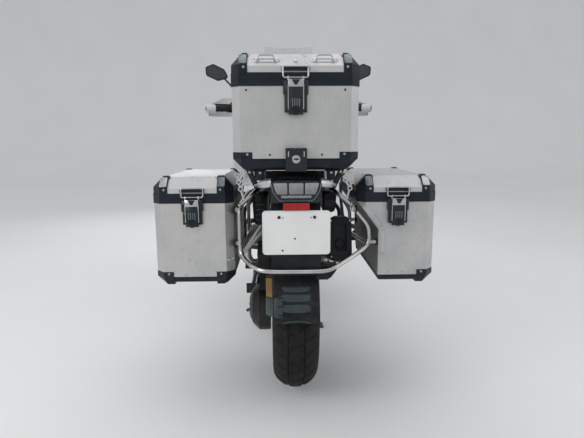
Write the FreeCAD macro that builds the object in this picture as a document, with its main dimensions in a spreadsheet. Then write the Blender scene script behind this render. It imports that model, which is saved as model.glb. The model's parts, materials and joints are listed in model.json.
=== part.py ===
import FreeCAD, Part
import math
import os
import re
from types import SimpleNamespace

import Sketcher
from FreeCAD import Placement, Rotation, Vector

# Adventure motorcycle with an aluminium top case and two aluminium panniers.
# Millimetres. It faces +Y, its right side is +X and it stands on its centre stand with
# the rear wheel off the floor. The origin is on the floor, midway along and across.

SIZES = {
    # Wheels and steering geometry
    "wheelbase": 1510,
    "rake": 25.5,
    "trail": 93,
    "front_tyre_radius": 325,
    "front_tyre_half": 60,
    "front_rim_radius": 241,
    "front_bead_half": 33,
    "front_hub_half": 69.5,
    "front_disc_radius": 152.5,
    "rear_tyre_radius": 318,
    "rear_tyre_half": 86,
    "rear_rim_radius": 216,
    "rear_bead_half": 62,
    "rear_lift": 20,
    "rear_hub_half": 78,
    "rear_hub_end": 30,
    "rear_disc_radius": 138,
    "crown_drop": 24,
    "rim_lip": 8,
    "lip_height": 12,
    "well_depth": 20,
    "hub_radius": 58,
    "hub_bore": 12.3,
    "disc_thickness": 5,
    "disc_band": 32,
    "spoke_half": 15,
    "spoke_width": 22,
    "running_gap": 0.3,
    # Fork and bars, in lengths up the steering axis and ahead of it
    "leg_spread": 112,
    "slider_radius": 22,
    "stanchion_radius": 20.5,
    "axle_radius": 12,
    "slider_rise": 63,
    "fork_top": 1154,
    "bridge_height": 24,
    "ball_height": 757,
    "head_height": 1105,
    "head_length": 40,
    "stem_radius": 16,
    "bar_height": 1252,
    "bar_radius": 13,
    "bar_reach": 460,
    "bar_end_height": 1382,
    "bar_end_back": 136,
    "steering_room": 168,
    "grip_length": 120,
    "grip_radius": 17,
    "front_guard_gap": 14,
    "guard_wall": 3,
    "front_guard_half": 66,
    # Engine and drive
    "engine_front": 960,
    "engine_rear": 676,
    "engine_half": 140,
    "engine_floor": 330,
    "engine_top": 650,
    "gearbox_half": 104,
    "gearbox_rear": 586,
    "cylinder_ahead": 800,
    "cylinder_stagger": 18,
    "cylinder_height": 480,
    "cylinder_reach": 330,
    "head_width": 150,
    "head_depth": 130,
    "cover_depth": 46,
    "fin_thickness": 3,
    "fin_pitch": 9,
    "fin_count": 7,
    "pivot_ahead": 520,
    "pivot_height": 440,
    "plate_inside": 118,
    "plate_thickness": 13,
    "arm_inside": 97,
    "drive_radius": 96,
    "drive_reach": 180,
    "header_radius": 21,
    "collector_height": 300,
    "silencer_side": 163.5,
    "silencer_width": 87,
    "silencer_height": 171,
    "silencer_rear": -200,
    "silencer_length": 540,
    "silencer_centre": 658,
    "silencer_slope": 12,
    # Frame and bodywork
    "rail_radius": 13,
    "rail_height": 800,
    "rail_half": 122,
    "tail_rail_half": 92,
    "tail_rail_rise": 42,
    "tank_rise": 290,
    "tank_rear": 740,
    "tank_front": 1075,
    "tank_half": 215,
    "tunnel_half": 165,
    "tunnel_rise": 102,
    "panel_reach": 346,
    "seat_half": 165,
    "rider_seat_rise": 105,
    "pillion_seat_rise": 93,
    "screen_foot": 1130,
    "screen_top": 1540,
    "screen_half": 172,
    "screen_wall": 4,
    "guard_tube": 13,
    "rack_tube": 8,
    "rack_inside": 196,
    "rack_top": 786,
    "rack_floor": 592,
    "rack_right_low": 260,
    # Tail
    "lamp_half": 84.5,
    "lamp_drop": 35,
    "lamp_height": 68,
    "lamp_rear": 322,
    "plate_width": 225,
    "plate_height": 148,
    "plate_thickness": 2,
    "plate_drop": 208,
    "plate_rear": 330,
    "reflector_width": 87,
    "reflector_height": 24,
    "hugger_gap": 14,
    "hugger_half": 81,
    "hugger_low": 9,
    "hugger_high": 112,
    # Luggage
    "case_wall": 3,
    "case_chamfer": 27,
    "bevel_inset": 38,
    "latch_reach": 36,
    "top_latch_half": 40,
    "top_latch_drop": 83,
    "side_latch_half": 37,
    "side_latch_drop": 72,
    "foot_taper": 30,
    "lid_gap": 0.4,
    "top_case_rear": 310,
    "top_case_depth": 360,
    "top_case_half": 206,
    "top_case_rise": 118,
    "top_case_base": 33,
    "top_case_body": 229,
    "top_case_rim": 21,
    "top_case_lip": 20,
    "top_case_bevel": 41,
    "pannier_rear": 250,
    "pannier_depth": 500,
    "pannier_inside": 216,
    "pannier_outside": 490,
    "pannier_floor": 517,
    "pannier_base": 21,
    "pannier_body": 260,
    "pannier_rim": 17,
    "pannier_lip": 17,
    "pannier_bevel": 38,
    "cutout_inside": 290,
    "cutout_height": 702,
    # Stands
    "stand_ahead": 545,
    "stand_height": 290,
    "stand_half": 105,
    "stand_foot_half": 150,
    "stand_foot_ahead": 592,
    "stand_tube": 13,
    "side_stand_ahead": 640,
    "side_stand_height": 300,
    "side_stand_side": 192,
    "side_stand_length": 285,
}

DOC = FreeCAD.newDocument("adventure_motorcycle")
SHEET = DOC.addObject("Spreadsheet::Sheet", "sizes")
for row, (alias, number) in enumerate(SIZES.items(), start=1):
    SHEET.set(f"A{row}", alias.replace("_", " "))
    SHEET.set(f"B{row}", str(number))
    SHEET.setAlias(f"B{row}", alias)
DOC.recompute()

S = SimpleNamespace(**{alias: float(SHEET.get(alias)) for alias in SIZES})
NODES = []
X, Y, Z = Vector(1, 0, 0), Vector(0, 1, 0), Vector(0, 0, 1)

# Along the machine, the rear axle stands where front tyre and top-case latch are level
REAR_AXLE = "(top_case_rear + latch_reach - wheelbase - front_tyre_radius) / 2"


def on_sheet(text):
    """Expression in which each size's name points at its cell."""
    return re.sub(r"[a-z_]+", lambda word: f"sizes.{word[0]}" if word[0] in SIZES else word[0], text)


def value(text):
    """Number that an expression on the sheet gives."""
    return float(SHEET.evalExpression(on_sheet(text)))


AXLE_Y = value(REAR_AXLE)
AXLE_Z = S.rear_tyre_radius + S.rear_lift
SIN, COS = math.sin(math.radians(S.rake)), math.cos(math.radians(S.rake))
FORK_UP, FORK_AHEAD = Vector(0, -SIN, COS), Vector(0, COS, SIN)
AXLE_AHEAD = (S.front_tyre_radius * SIN / COS - S.trail) * COS
AXLE_UP = (S.front_tyre_radius - AXLE_AHEAD * SIN) / COS
SLIDER_TOP = S.ball_height + S.slider_rise
TANK_TOP = S.rail_height + S.tank_rise
TAIL_RAIL = S.rail_height + S.tail_rail_rise
TOP_CASE_FLOOR = S.rail_height + S.top_case_rise
LAMP_FLOOR = TAIL_RAIL - S.lamp_drop
PLATE_FLOOR = TAIL_RAIL - S.plate_drop
TUNNEL_TOP = S.rail_height + S.tunnel_rise


def at(side, ahead, height):
    """Point by its side, its distance ahead of the rear axle and its height."""
    return Vector(side, AXLE_Y + ahead, height)


def on_fork(side, up, ahead=0.0):
    """Point by its side, its distance up the steering axis and ahead of that axis."""
    foot = at(side, S.wheelbase + S.trail, 0)
    return foot + FORK_UP * up + FORK_AHEAD * ahead


def by_front(side, behind, height):
    """Point by its side, its distance behind the front axle and its height."""
    return at(side, S.wheelbase - behind, height)


def bind(item, texts):
    """Tie each named property of an object to an expression on the sheet."""
    for name, text in texts.items():
        item.setExpression(name, on_sheet(text))


def place(item, ahead="0", height="0", side="0"):
    """Place an object relative to the rear axle's line on the floor."""
    bind(item, {"Placement.Base.x": side, "Placement.Base.y": f"{REAR_AXLE} + {ahead}",
                "Placement.Base.z": height})


def keep(label, item):
    """Give a finished sub-part its label and add it to those that are written."""
    item.Label = label
    NODES.append(item)
    return item


# Sketched bodies

def drawn(body, role, name, corners, arcs=None, lift="0"):
    """Closed sketch through corners on the sheet; arcs gives a side's radius, bulging left."""
    sketch = body.newObject("Sketcher::SketchObject", name)
    plane = next(part for part in body.Origin.OriginFeatures if part.Role == role)
    sketch.AttachmentSupport = (plane, [""])
    sketch.MapMode = "FlatFace"
    bind(sketch, {"AttachmentOffset.Base.z": lift})
    arcs = arcs or {}
    points = [Vector(value(across), value(along), 0) for across, along in corners]
    for side, (start, end) in enumerate(zip(points, points[1:] + points[:1])):
        if side not in arcs:
            sketch.addGeometry(Part.LineSegment(start, end), False)
            continue
        radius = value(arcs[side])
        half = (end - start).Length / 2
        outward = Z.cross(end - start).normalize()
        rise = radius - math.sqrt(radius * radius - half * half)
        sketch.addGeometry(Part.Arc(end, (start + end) * 0.5 + outward * rise, start), False)
    ends = []
    for side, start in enumerate(points):
        first = 1 if (sketch.Geometry[side].StartPoint - start).Length < 1e-6 else 2
        ends.append((first, 3 - first))
    for side, (first, last) in enumerate(ends):
        following = (side + 1) % len(points)
        sketch.addConstraint(Sketcher.Constraint("Coincident", side, last, following, ends[following][0]))
    for side, (across, along) in enumerate(corners):
        for kind, text, number in (("DistanceX", across, points[side].x),
                                   ("DistanceY", along, points[side].y)):
            index = sketch.addConstraint(Sketcher.Constraint(kind, -1, 1, side, ends[side][0], number))
            sketch.renameConstraint(index, f"{kind}{side}")
            bind(sketch, {f"Constraints.{kind}{side}": text})
    for side, radius in arcs.items():
        index = sketch.addConstraint(Sketcher.Constraint("Radius", side, value(radius)))
        sketch.renameConstraint(index, f"Arc{side}")
        bind(sketch, {f"Constraints.Arc{side}": radius})
    return sketch


def ringed(body, role, name, radii, centre=("0", "0"), lift="0"):
    """Sketch of one or more circles about a centre on the sheet."""
    sketch = body.newObject("Sketcher::SketchObject", name)
    plane = next(part for part in body.Origin.OriginFeatures if part.Role == role)
    sketch.AttachmentSupport = (plane, [""])
    sketch.MapMode = "FlatFace"
    bind(sketch, {"AttachmentOffset.Base.z": lift})
    middle = Vector(value(centre[0]), value(centre[1]), 0)
    for index, radius in enumerate(radii):
        sketch.addGeometry(Part.Circle(middle, Z, value(radius)), False)
        size = sketch.addConstraint(Sketcher.Constraint("Radius", index, value(radius)))
        sketch.renameConstraint(size, f"Radius{index}")
        bind(sketch, {f"Constraints.Radius{index}": radius})
        for kind, text, number in (("DistanceX", centre[0], middle.x), ("DistanceY", centre[1], middle.y)):
            size = sketch.addConstraint(Sketcher.Constraint(kind, -1, 1, index, 3, number))
            sketch.renameConstraint(size, f"{kind}{index}")
            bind(sketch, {f"Constraints.{kind}{index}": text})
    return sketch


def padded(body, sketch, length, symmetric=False, backwards=False):
    """Pad of a sketch to a length on the sheet."""
    pad = body.newObject("PartDesign::Pad", f"{sketch.Name}_pad")
    pad.Profile = sketch
    pad.SideType = "Symmetric" if symmetric else "One side"
    pad.Reversed = backwards
    bind(pad, {"Length": length})
    return pad


def pocketed(body, sketch, length, symmetric=True):
    """Pocket of a sketch to a length on the sheet."""
    pocket = body.newObject("PartDesign::Pocket", f"{sketch.Name}_pocket")
    pocket.Profile = sketch
    pocket.SideType = "Symmetric" if symmetric else "One side"
    bind(pocket, {"Length": length})
    return pocket


def turned(body, sketch):
    """Full revolution of a sketch about its own horizontal axis."""
    feature = body.newObject("PartDesign::Revolution", f"{sketch.Name}_turn")
    feature.Profile = sketch
    feature.ReferenceAxis = (sketch, ["H_Axis"])
    return feature


def around_axle(body, feature, count):
    """Polar pattern of a feature about the body's X axis."""
    pattern = body.newObject("PartDesign::PolarPattern", f"{feature.Name}_round")
    pattern.Originals = [feature]
    axis = next(part for part in body.Origin.OriginFeatures if part.Role == "X_Axis")
    pattern.Axis = (axis, [""])
    pattern.Angle = 360
    pattern.Occurrences = count
    body.Tip = pattern
    return pattern


# Primitives and booleans

def block(name, side, ahead, height):
    """Box whose faces lie at (low, high) on the sheet each way, ahead from the rear axle."""
    item = DOC.addObject("Part::Box", name)
    for size, (low, high) in zip(("Length", "Width", "Height"), (side, ahead, height)):
        bind(item, {size: f"({high}) - ({low})"})
    place(item, side=side[0], ahead=ahead[0], height=height[0])
    return item


def bar(name, direction, radius, length, side="0", ahead="0", height="0"):
    """Cylinder along a direction from a point on the sheet."""
    item = DOC.addObject("Part::Cylinder", name)
    item.Placement = Placement(Vector(), Rotation(Z, direction))
    bind(item, {"Radius": radius, "Height": length})
    place(item, side=side, ahead=ahead, height=height)
    return item


def fused(name, items):
    """Union of document objects."""
    item = DOC.addObject("Part::MultiFuse", name)
    item.Shapes = items
    return item


def cut(name, base, tool):
    """First object less the second."""
    item = DOC.addObject("Part::Cut", name)
    item.Base, item.Tool = base, tool
    return item


def edged(name, base, size, wanted):
    """Chamfer of the edges of a base that a test picks."""
    DOC.recompute()
    item = DOC.addObject("Part::Chamfer", name)
    item.Base = base
    edges = [number for number, edge in enumerate(base.Shape.Edges, start=1) if wanted(edge)]
    item.Edges = [(number, value(size), value(size)) for number in edges]
    return item


def shaped(name, shape):
    """Object that holds a shape made by functions."""
    item = DOC.addObject("Part::Feature", name)
    item.Shape = shape
    return item


# Shapes made by functions

def tube(points, radius, bend=60.0, bore=0.0):
    """Round tube along straight runs joined by tangent arcs of up to the bend's radius."""
    edges = []
    start = points[0]
    for before, corner, after in zip(points, points[1:], points[2:]):
        back, onward = before - corner, after - corner
        room = 0.45 * min(back.Length, onward.Length)
        back.normalize()
        onward.normalize()
        half = back.getAngle(onward) / 2
        reach = min(bend / math.tan(half), room)
        turn = reach * math.tan(half)
        middle = (back + onward).normalize() * (turn / math.sin(half) - turn)
        edges.append(Part.LineSegment(start, corner + back * reach).toShape())
        edges.append(Part.Arc(corner + back * reach, corner + middle, corner + onward * reach).toShape())
        start = corner + onward * reach
    edges.append(Part.LineSegment(start, points[-1]).toShape())
    path = Part.Wire(edges)
    solid = path.makePipeShell([ring_wire(points[0], points[1] - points[0], radius)], True, True)
    if bore:
        inner = path.makePipeShell([ring_wire(points[0], points[1] - points[0], bore)], True, True)
        solid = solid.cut(inner)
    return solid


def ring_wire(centre, normal, radius):
    """Circle as a wire."""
    return Part.Wire(Part.Circle(centre, normal, radius).toShape())


def rod(start, end, radius):
    """Cylinder between two points."""
    return Part.makeCylinder(radius, (end - start).Length, start, end - start)


def collar(centre, axis, outer, inner, length):
    """Ring of a length, centred on a point, about an axis."""
    direction = Vector(axis).normalize()
    foot = centre - direction * (length / 2)
    bore = Part.makeCylinder(inner, length, foot, direction)
    return Part.makeCylinder(outer, length, foot, direction).cut(bore)


def slab(side, ahead, height):
    """Box shape between (low, high) each way, ahead from the rear axle."""
    corner = at(side[0], ahead[0], height[0])
    return Part.makeBox(side[1] - side[0], ahead[1] - ahead[0], height[1] - height[0], corner)


def extruded(points, along):
    """Prism of a closed outline."""
    return Part.Face(Part.makePolygon(points + points[:1])).extrude(along)


def lofted(sections):
    """Solid through closed wires."""
    return Part.makeLoft(sections, True, False)


def rounded(corners, radius):
    """Closed outline through corners, each rounded by a tangent arc."""
    edges = []
    starts, ends = [], []
    for before, corner, after in zip(corners[-1:] + corners[:-1], corners, corners[1:] + corners[:1]):
        back, onward = (before - corner).normalize(), (after - corner).normalize()
        half = back.getAngle(onward) / 2
        reach = radius / math.tan(half)
        middle = (back + onward).normalize() * (radius / math.sin(half) - radius)
        starts.append(corner + back * reach)
        ends.append(corner + onward * reach)
        edges.append(Part.Arc(starts[-1], corner + middle, ends[-1]).toShape())
    sides = [Part.LineSegment(end, start).toShape() for end, start in zip(ends, starts[1:] + starts[:1])]
    return Part.Wire([edge for pair in zip(edges, sides) for edge in pair])


def hoop(half, low, high, ahead, radius, pinch=0.0):
    """Rounded four-sided section across the machine; pinch narrows its top."""
    corners = [at(-half, ahead, low), at(half, ahead, low), at(half - pinch, ahead, high),
               at(-half + pinch, ahead, high)]
    return rounded(corners, radius)


def mirrored(shape):
    """Shape on the other side of the middle plane."""
    return shape.mirror(Vector(), X)


def union(shapes):
    """One solid of touching shapes."""
    return shapes[0].multiFuse(shapes[1:]).removeSplitter()


def both(shape):
    """A shape and its mirror image as separate solids."""
    return Part.makeCompound([shape, mirrored(shape)])


# Wheels

def make_tyre(label, radius, half, rim, bead, place_at):
    """Tyre: beads, bulging sidewalls and a round crown, turned about the axle."""
    body = DOC.addObject("PartDesign::Body", label)
    place(body, **place_at)
    shoulder = f"({radius} - crown_drop)"
    wall_chord = f"(({half} - {bead})^2 + ({shoulder} - {rim} - lip_height)^2)"
    corners = [
        (f"-{bead}", rim), (f"-{bead}", f"{rim} + lip_height"), (f"-{half}", shoulder),
        (half, shoulder), (bead, f"{rim} + lip_height"), (bead, rim),
    ]
    crown = f"({half}^2 + crown_drop^2) / (2 * crown_drop)"
    wall = f"sqrt({wall_chord}) * 0.8"
    turned(body, drawn(body, "XZ_Plane", f"{label}_profile", corners, {1: wall, 2: crown, 3: wall}))
    return keep(label, body)


def make_rim(label, rim, bead, hub_half, hub_shift, place_at):
    """Cast rim: lips and drop centre, a hub and five pairs of spokes."""
    body = DOC.addObject("PartDesign::Body", label)
    place(body, **place_at)
    lip = f"{bead} + rim_lip"
    outer = [
        (f"-({lip})", f"{rim} + lip_height"), (f"-{bead}", f"{rim} + lip_height"), (f"-{bead}", rim),
        (bead, rim), (bead, f"{rim} + lip_height"), (lip, f"{rim} + lip_height"),
    ]
    inner = [
        (lip, f"{rim} - 3"), (f"{bead} - 8", f"{rim} - 11"), ("20", f"{rim} - well_depth"),
        ("-20", f"{rim} - well_depth"), (f"-{bead} + 8", f"{rim} - 11"), (f"-({lip})", f"{rim} - 3"),
    ]
    turned(body, drawn(body, "XZ_Plane", f"{label}_barrel", outer + inner))
    hub = [(f"-{hub_half}", "hub_bore"), (hub_shift, "hub_bore"), (hub_shift, "hub_radius"),
           (f"-{hub_half}", "hub_radius")]
    turned(body, drawn(body, "XZ_Plane", f"{label}_hub", hub))
    foot, head = "hub_radius - 6", f"{rim} - well_depth + 6"
    leg = [
        ("6", foot), ("6 + spoke_width", foot), (f"{rim} * 0.22 + spoke_width / 2", head),
        (f"{rim} * 0.22 - spoke_width / 2", head),
    ]
    legs = leg + [(f"-({across})", along) for across, along in reversed(leg)]
    for side, corners in (("right", legs[:4]), ("left", legs[4:])):
        pad = padded(body, drawn(body, "YZ_Plane", f"{label}_{side}_spoke", corners), "2 * spoke_half",
                     symmetric=True)
        around_axle(body, pad, 5)
    return keep(label, body)


def make_disc(label, radius):
    """Brake disc: a braking band on a windowed carrier."""
    body = DOC.addObject("PartDesign::Body", label)
    padded(body, ringed(body, "YZ_Plane", f"{label}_ring", [radius, "hub_bore + 12"]), "disc_thickness")
    window = [
        ("-14", f"{radius} - disc_band - 26"), ("14", f"{radius} - disc_band - 26"),
        ("20", f"{radius} - disc_band - 4"), ("-20", f"{radius} - disc_band - 4"),
    ]
    opening = pocketed(body, drawn(body, "YZ_Plane", f"{label}_window", window), "4 * disc_thickness")
    around_axle(body, opening, 10)
    return body


def make_wheels():
    """Both wheels with their tyres and discs."""
    front = {"ahead": "wheelbase", "height": "front_tyre_radius"}
    rear = {"ahead": "0", "height": "rear_tyre_radius + rear_lift"}
    make_tyre("front_tyre", "front_tyre_radius", "front_tyre_half", "front_rim_radius", "front_bead_half",
              front)
    make_rim("front_rim", "front_rim_radius", "front_bead_half", "front_hub_half", "front_hub_half", front)
    right = make_disc("front_disc_right", "front_disc_radius")
    place(right, side="front_hub_half", **front)
    left = DOC.addObject("Part::Mirroring", "front_disc_left")
    left.Source, left.Normal = right, X
    pair = DOC.addObject("Part::Compound", "front_discs")
    pair.Links = [right, left]
    keep("front_discs", pair)
    make_tyre("rear_tyre", "rear_tyre_radius", "rear_tyre_half", "rear_rim_radius", "rear_bead_half", rear)
    make_rim("rear_rim", "rear_rim_radius", "rear_bead_half", "rear_hub_half", "rear_hub_end", rear)
    disc = make_disc("rear_disc", "rear_disc_radius")
    place(disc, side="-rear_hub_half - disc_thickness", **rear)
    keep("rear_disc", disc)


# Front end

def make_fork():
    """Fork: sliders with axle and lower bridge, stanchions with top bridge and stem."""
    legs = []
    for side in (-S.leg_spread, S.leg_spread):
        legs.append(rod(on_fork(side, AXLE_UP - 42, AXLE_AHEAD), on_fork(side, SLIDER_TOP, AXLE_AHEAD),
                        S.slider_radius))
        legs.append(rod(on_fork(side, SLIDER_TOP - 30, AXLE_AHEAD),
                        on_fork(side, SLIDER_TOP, AXLE_AHEAD), S.slider_radius + 5))
    collar_start = S.front_hub_half + 0.8
    for side in (-1, 1):
        start = on_fork(side * collar_start, AXLE_UP, AXLE_AHEAD)
        legs.append(rod(start, on_fork(side * S.leg_spread, AXLE_UP, AXLE_AHEAD), S.axle_radius + 8))
    legs.append(rod(on_fork(-S.leg_spread, AXLE_UP, AXLE_AHEAD), on_fork(S.leg_spread, AXLE_UP, AXLE_AHEAD),
                    S.axle_radius))
    low, high = S.ball_height + 18, S.ball_height + 18 + S.bridge_height
    plan = [(-S.leg_spread, 40), (-40, -24), (40, -24), (S.leg_spread, 40), (S.leg_spread, 74),
            (-S.leg_spread, 74)]
    outline = [on_fork(side, low, ahead) for side, ahead in plan]
    legs.append(extruded(outline, FORK_UP * (high - low)))
    legs.append(rod(on_fork(0, S.ball_height - 16), on_fork(0, high), 10))
    # Lugs behind the sliders, with room for the calipers that they carry
    room = Part.makeCylinder(S.front_disc_radius + 12.3, 40.6, Vector(59.7, 0, 0), X, 44.8)
    room.Placement = Placement(on_fork(0, AXLE_UP, AXLE_AHEAD), Rotation(X, -S.rake + 64.6))
    lug = extruded([
        on_fork(92, AXLE_UP + 96, AXLE_AHEAD - 12), on_fork(92, AXLE_UP + 150, AXLE_AHEAD - 12),
        on_fork(92, AXLE_UP + 128, AXLE_AHEAD - 58), on_fork(92, AXLE_UP + 84, AXLE_AHEAD - 58),
    ], X * 16).cut(room)
    legs += [lug, mirrored(lug)]
    keep("fork_sliders", shaped("fork_sliders", union(legs)))

    upper = []
    for side in (-S.leg_spread, S.leg_spread):
        upper.append(rod(on_fork(side, SLIDER_TOP, AXLE_AHEAD), on_fork(side, S.fork_top + 6, AXLE_AHEAD),
                         S.stanchion_radius))
    low = S.fork_top - S.bridge_height
    plan = [
        (-S.leg_spread - 32, 30), (-60, -30), (60, -30), (S.leg_spread + 32, 30), (S.leg_spread + 32, 70),
        (S.leg_spread, 90), (60, 60), (-60, 60), (-S.leg_spread, 90), (-S.leg_spread - 32, 70),
    ]
    upper.append(extruded([on_fork(side, low, ahead) for side, ahead in plan], FORK_UP * S.bridge_height))
    upper.append(rod(on_fork(0, S.head_height - S.head_length / 2), on_fork(0, S.fork_top), S.stem_radius))
    riser_top = S.bar_height - S.bar_radius - S.running_gap
    for side in (-42, 42):
        upper.append(rod(on_fork(side, S.fork_top - 4), on_fork(side, riser_top), 15))
    keep("fork_stanchions", shaped("fork_stanchions", union(upper)))

    caliper_inside, caliper_wide = 60, 40
    caliper = Part.makeCylinder(S.front_disc_radius + 12, caliper_wide, Vector(caliper_inside, 0, 0), X, 44)
    caliper = caliper.cut(Part.makeCylinder(98, 40, Vector(60, 0, 0), X))
    slot = Part.makeCylinder(S.front_disc_radius + 4, 14, Vector(S.front_hub_half - 4.5, 0, 0), X)
    caliper = caliper.cut(slot)
    behind = Rotation(X, -S.rake + 65)
    caliper.Placement = Placement(on_fork(0, AXLE_UP, AXLE_AHEAD), behind)
    keep("front_calipers", shaped("front_calipers", both(caliper)))


def make_front_mudguard():
    """Close mudguard: a thin arched shell with turned-down edges on two stays."""
    inner = S.front_tyre_radius + S.front_guard_gap
    wall, half = S.guard_wall, S.front_guard_half
    profile = [
        (-half - wall, inner - 26), (-half, inner - 26), (-half, inner - 6), (-half + 14, inner),
        (half - 14, inner), (half, inner - 6), (half, inner - 26), (half + wall, inner - 26),
        (half + wall, inner - 4), (half - 13, inner + wall), (-half + 13, inner + wall),
        (-half - wall, inner - 4),
    ]
    hub = on_fork(0, AXLE_UP, AXLE_AHEAD)
    face = Part.Face(Part.makePolygon([hub + Vector(side, 0, out) for side, out in profile + profile[:1]]))
    face.rotate(hub, X, -32)
    shell = face.revolve(hub, X, 126)
    leg = S.leg_spread - S.slider_radius
    foot, stay_half = half + wall - 1, 14
    low, high = AXLE_UP + inner - 54, AXLE_UP + inner - 17
    stay = extruded([
        on_fork(foot, low, AXLE_AHEAD - stay_half), on_fork(foot, high, AXLE_AHEAD - stay_half),
        on_fork(foot, high, AXLE_AHEAD + stay_half), on_fork(foot, low, AXLE_AHEAD + stay_half),
    ], X * (leg - foot - S.running_gap))
    keep("front_mudguard", shaped("front_mudguard", union([shell, stay, mirrored(stay)])))


def bar_points(sign=1):
    """Corners of one half of the handlebar, from the middle out."""
    rise = S.bar_end_height - S.bar_height
    return [
        on_fork(0, S.bar_height), on_fork(sign * 118, S.bar_height),
        on_fork(sign * 240, S.bar_height + 0.75 * rise, -0.4 * S.bar_end_back),
        on_fork(sign * S.bar_reach, S.bar_end_height, -S.bar_end_back),
    ]


def along_grip(sign, share):
    """Point on the grip's straight run, as a share of the way to the bar's end."""
    inner, outer = bar_points(sign)[2:]
    return inner + (outer - inner) * share


def make_bars():
    """Handlebar, grips with levers, hand guards and mirrors."""
    left = bar_points(-1)
    points = left[:0:-1] + bar_points(1)[1:]
    keep("handlebar", shaped("handlebar", tube(points, S.bar_radius, 50)))

    sleeves, guards, mirrors = [], [], []
    for sign in (-1, 1):
        inner, outer = along_grip(sign, 0.5), along_grip(sign, 0.82)
        run = outer - inner
        bore = S.bar_radius + S.running_gap
        grip = rod(inner, outer, S.grip_radius).cut(rod(inner - run, outer + run, bore))
        flange = rod(inner, inner + run * 0.08, S.grip_radius + 6).cut(rod(inner - run, outer + run, bore))
        switch = rod(along_grip(sign, 0.24), along_grip(sign, 0.47), 23)
        switch = switch.cut(rod(inner - run, outer + run, bore))
        perch = along_grip(sign, 0.36)
        lever = tube([
            perch + FORK_AHEAD * 20, perch + FORK_AHEAD * 58 + X * sign * 24,
            perch + FORK_AHEAD * 60 + X * sign * 76, perch + FORK_AHEAD * 64 + X * sign * 116,
        ], 5, 30)
        pot = Part.makeBox(40, 46, 34, perch + Vector(-20, 14, 2))
        sleeves += [union([grip, flange]),
                    union([switch, lever, pot]).cut(rod(inner - run, outer + run, bore))]

        shell_low, shell_high = 1152, 1262
        arc = Part.Arc(
            by_front(sign * 262, 480, 0), by_front(sign * 408, 462, 0),
            by_front(sign * (S.bar_reach + 9), 544, 0),
        ).toShape()
        back = arc.copy()
        back.translate(Y * -S.guard_wall)
        outline = Part.Wire([
            arc, Part.makeLine(arc.Vertexes[-1].Point, back.Vertexes[-1].Point), back,
            Part.makeLine(back.Vertexes[0].Point, arc.Vertexes[0].Point),
        ])
        shell = Part.Face(outline).extrude(Z * (shell_high - shell_low))
        shell.translate(Z * shell_low)
        corners = union([extruded([
            by_front(sign * side, 710, shell_high + 2), by_front(sign * tip, 710, shell_high + 2),
            by_front(sign * side, 710, shell_high - 48),
        ], Y * 400) for side, tip in ((250, 345), (S.bar_reach + 12, S.bar_reach - 74))])
        # Weight on the bar's end, which carries the guard
        straight = (outer - inner).normalize()
        tip = along_grip(sign, 1.0)
        weight = rod(along_grip(sign, 0.83), tip + straight * 11, 23)
        weight = weight.cut(rod(inner, tip + straight * S.running_gap, bore))
        end = tip + straight * 3
        stay = rod(end + Y * 16, Vector(end.x, by_front(0, 536, 0).y, end.z), 6)
        guards.append(union([shell.cut(corners), stay, weight]))

        glass = rounded([
            by_front(sign * side, 570, height)
            for side, height in ((344, 1366), (408, 1349), (472, 1378), (476, 1424), (430, 1442), (368, 1412))
        ], 15)
        head = Part.Face(glass).extrude(Y * 26)
        foot = along_grip(sign, 0.14)
        clamp = collar(foot, run, S.bar_radius + 9, bore, 22)
        stem = tube([
            foot + Z * (S.bar_radius + 2), by_front(sign * 330, 535, 1320), by_front(sign * 392, 544, 1385),
        ], 5, 60)
        mirrors.append(union([head, stem, clamp]))
    keep("grips_and_levers", shaped("grips_and_levers", Part.makeCompound(sleeves)))
    keep("hand_guards", shaped("hand_guards", Part.makeCompound(guards)))
    keep("mirrors", shaped("mirrors", Part.makeCompound(mirrors)))


# Chassis

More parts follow.
